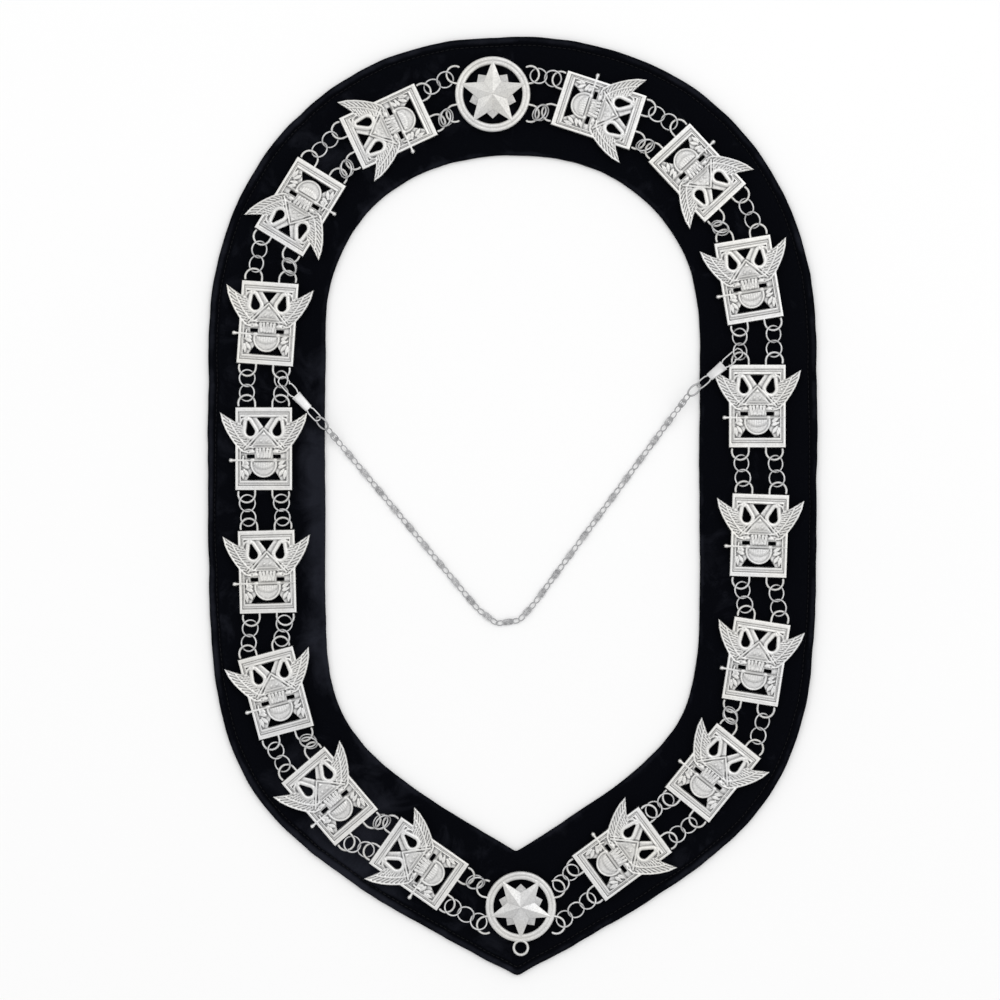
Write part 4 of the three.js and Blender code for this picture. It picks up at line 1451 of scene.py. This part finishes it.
def build_sky(strength):
    world = bpy.data.worlds.new("studio")
    world.use_nodes = True
    sky = world.node_tree.nodes["Background"].inputs
    sky["Color"].default_value = (1, 1, 1, 1)
    sky["Strength"].default_value = strength
    bpy.context.scene.world = world


def build_lamp(name, place, size, power):
    """A square soft lamp that faces the middle of the collar."""
    light = bpy.data.lights.new(name, "AREA")
    light.shape = "SQUARE"
    light.size = size
    light.energy = power
    lamp = bpy.data.objects.new(name, light)
    lamp.location = place
    lamp.rotation_mode = "QUATERNION"
    lamp.rotation_quaternion = (-Vector(place)).to_track_quat("-Z", "Y")
    bpy.context.scene.collection.objects.link(lamp)


def build_camera():
    """A camera straight above, with the width of the picture set at the plane of the hooks."""
    picture_width, distance = 0.64, 2.6
    across, up = -0.008, 0.00416
    camera = bpy.data.objects.new("camera", bpy.data.cameras.new("camera"))
    camera.data.sensor_width = 36
    camera.data.lens = camera.data.sensor_width * distance / picture_width
    camera.data.clip_end = 20
    camera.location = (across, up, distance + HOOK_PLANE * MM)
    bpy.context.scene.collection.objects.link(camera)
    bpy.context.scene.camera = camera


# Operators

def settings():
    scene = bpy.context.scene
    return scene.collar_velvet, scene.collar_castings, scene.collar_wires


def shared_look(name, make, *sizes):
    """The look of that name, made where no earlier operator has made it."""
    return bpy.data.materials.get(name) or make(*sizes)


class MakeVelvet(bpy.types.Operator):
    """Make the padded velvet band and the stitches of its hem"""
    bl_idname = "collar.make_velvet"
    bl_label = "Velvet band"

    def execute(self, context):
        velvet, _, _ = settings()
        build_velvet(velvet, shared_look("crushed_velvet", velvet_look, velvet))
        build_stitches(velvet, shared_look("black_thread", thread_look))
        return {"FINISHED"}


class MakePlaques(bpy.types.Operator):
    """Make the sixteen cast eagle plaques"""
    bl_idname = "collar.make_plaques"
    bl_label = "Eagle plaques"

    def execute(self, context):
        _, castings, wires = settings()
        build_plaques(castings, wires, shared_look("cast_silver", silver_look, castings))
        return {"FINISHED"}


class MakeMedallions(bpy.types.Operator):
    """Make the two star medallions"""
    bl_idname = "collar.make_medallions"
    bl_label = "Star medallions"

    def execute(self, context):
        _, castings, wires = settings()
        look = shared_look("cast_silver", silver_look, castings)
        build_medallion("medallion_nape", castings.nape_radius / MM, True, wires, look)
        build_medallion("medallion_front", castings.front_radius / MM, False, wires, look)
        return {"FINISHED"}


class MakeRings(bpy.types.Operator):
    """Make the strands of free jump rings"""
    bl_idname = "collar.make_rings"
    bl_label = "Jump rings"

    def execute(self, context):
        _, castings, wires = settings()
        build_rings(castings, wires, shared_look("drawn_silver_wire", wire_look))
        return {"FINISHED"}


class MakeClips(bpy.types.Operator):
    """Make the two wire clips"""
    bl_idname = "collar.make_clips"
    bl_label = "Clips"

    def execute(self, context):
        _, castings, wires = settings()
        look = shared_look("drawn_silver_wire", wire_look)
        build_clips(all_strands(castings, wires), wires, look)
        return {"FINISHED"}


class MakeChain(bpy.types.Operator):
    """Make the cross chain with its oval end rings"""
    bl_idname = "collar.make_chain"
    bl_label = "Cross chain"

    def execute(self, context):
        _, castings, wires = settings()
        look = shared_look("stamped_chain_silver", chain_look)
        build_chain(all_strands(castings, wires), wires, look)
        return {"FINISHED"}


class MakeStage(bpy.types.Operator):
    """Make the floor, the lights and the camera"""
    bl_idname = "collar.make_stage"
    bl_label = "Stage"

    def execute(self, context):
        look = context.scene.collar_stage
        build_floor(look.floor)
        build_sky(look.sky)
        build_lamp("lamp_above", (1.4, 1.3, 3.6), 3.2, look.lamp)
        build_lamp("lamp_side", (-2.4, 0.8, 2.6), 2.4, 0.3 * look.lamp)
        build_camera()
        context.scene.view_settings.view_transform = "Standard"
        return {"FINISHED"}


class CollarPanel(bpy.types.Panel):
    """Makes the collar's pieces and the stage"""
    bl_idname = "VIEW3D_PT_collar"
    bl_label = "Chain collar"
    bl_space_type = "VIEW_3D"
    bl_region_type = "UI"
    bl_category = "Collar"

    def draw(self, context):
        for operator in OPERATORS:
            self.layout.operator(operator.bl_idname)


OPERATORS = (MakeVelvet, MakePlaques, MakeMedallions, MakeRings, MakeClips, MakeChain, MakeStage)
GROUPS = {"collar_velvet": VelvetSizes, "collar_castings": CastingSizes,
          "collar_wires": WireSizes, "collar_stage": StageLook}


def register():
    for cls in (*GROUPS.values(), *OPERATORS, CollarPanel):
        bpy.utils.register_class(cls)
    for name, group in GROUPS.items():
        setattr(bpy.types.Scene, name, bpy.props.PointerProperty(type=group))


def unregister():
    for name in GROUPS:
        delattr(bpy.types.Scene, name)
    for cls in (CollarPanel, *reversed(OPERATORS), *reversed(list(GROUPS.values()))):
        bpy.utils.unregister_class(cls)


def main():
    register()
    for operator in OPERATORS:
        group, name = operator.bl_idname.split(".")
        getattr(getattr(bpy.ops, group), name)()
    bpy.context.view_layer.update()


if __name__ == "__main__":
    main()
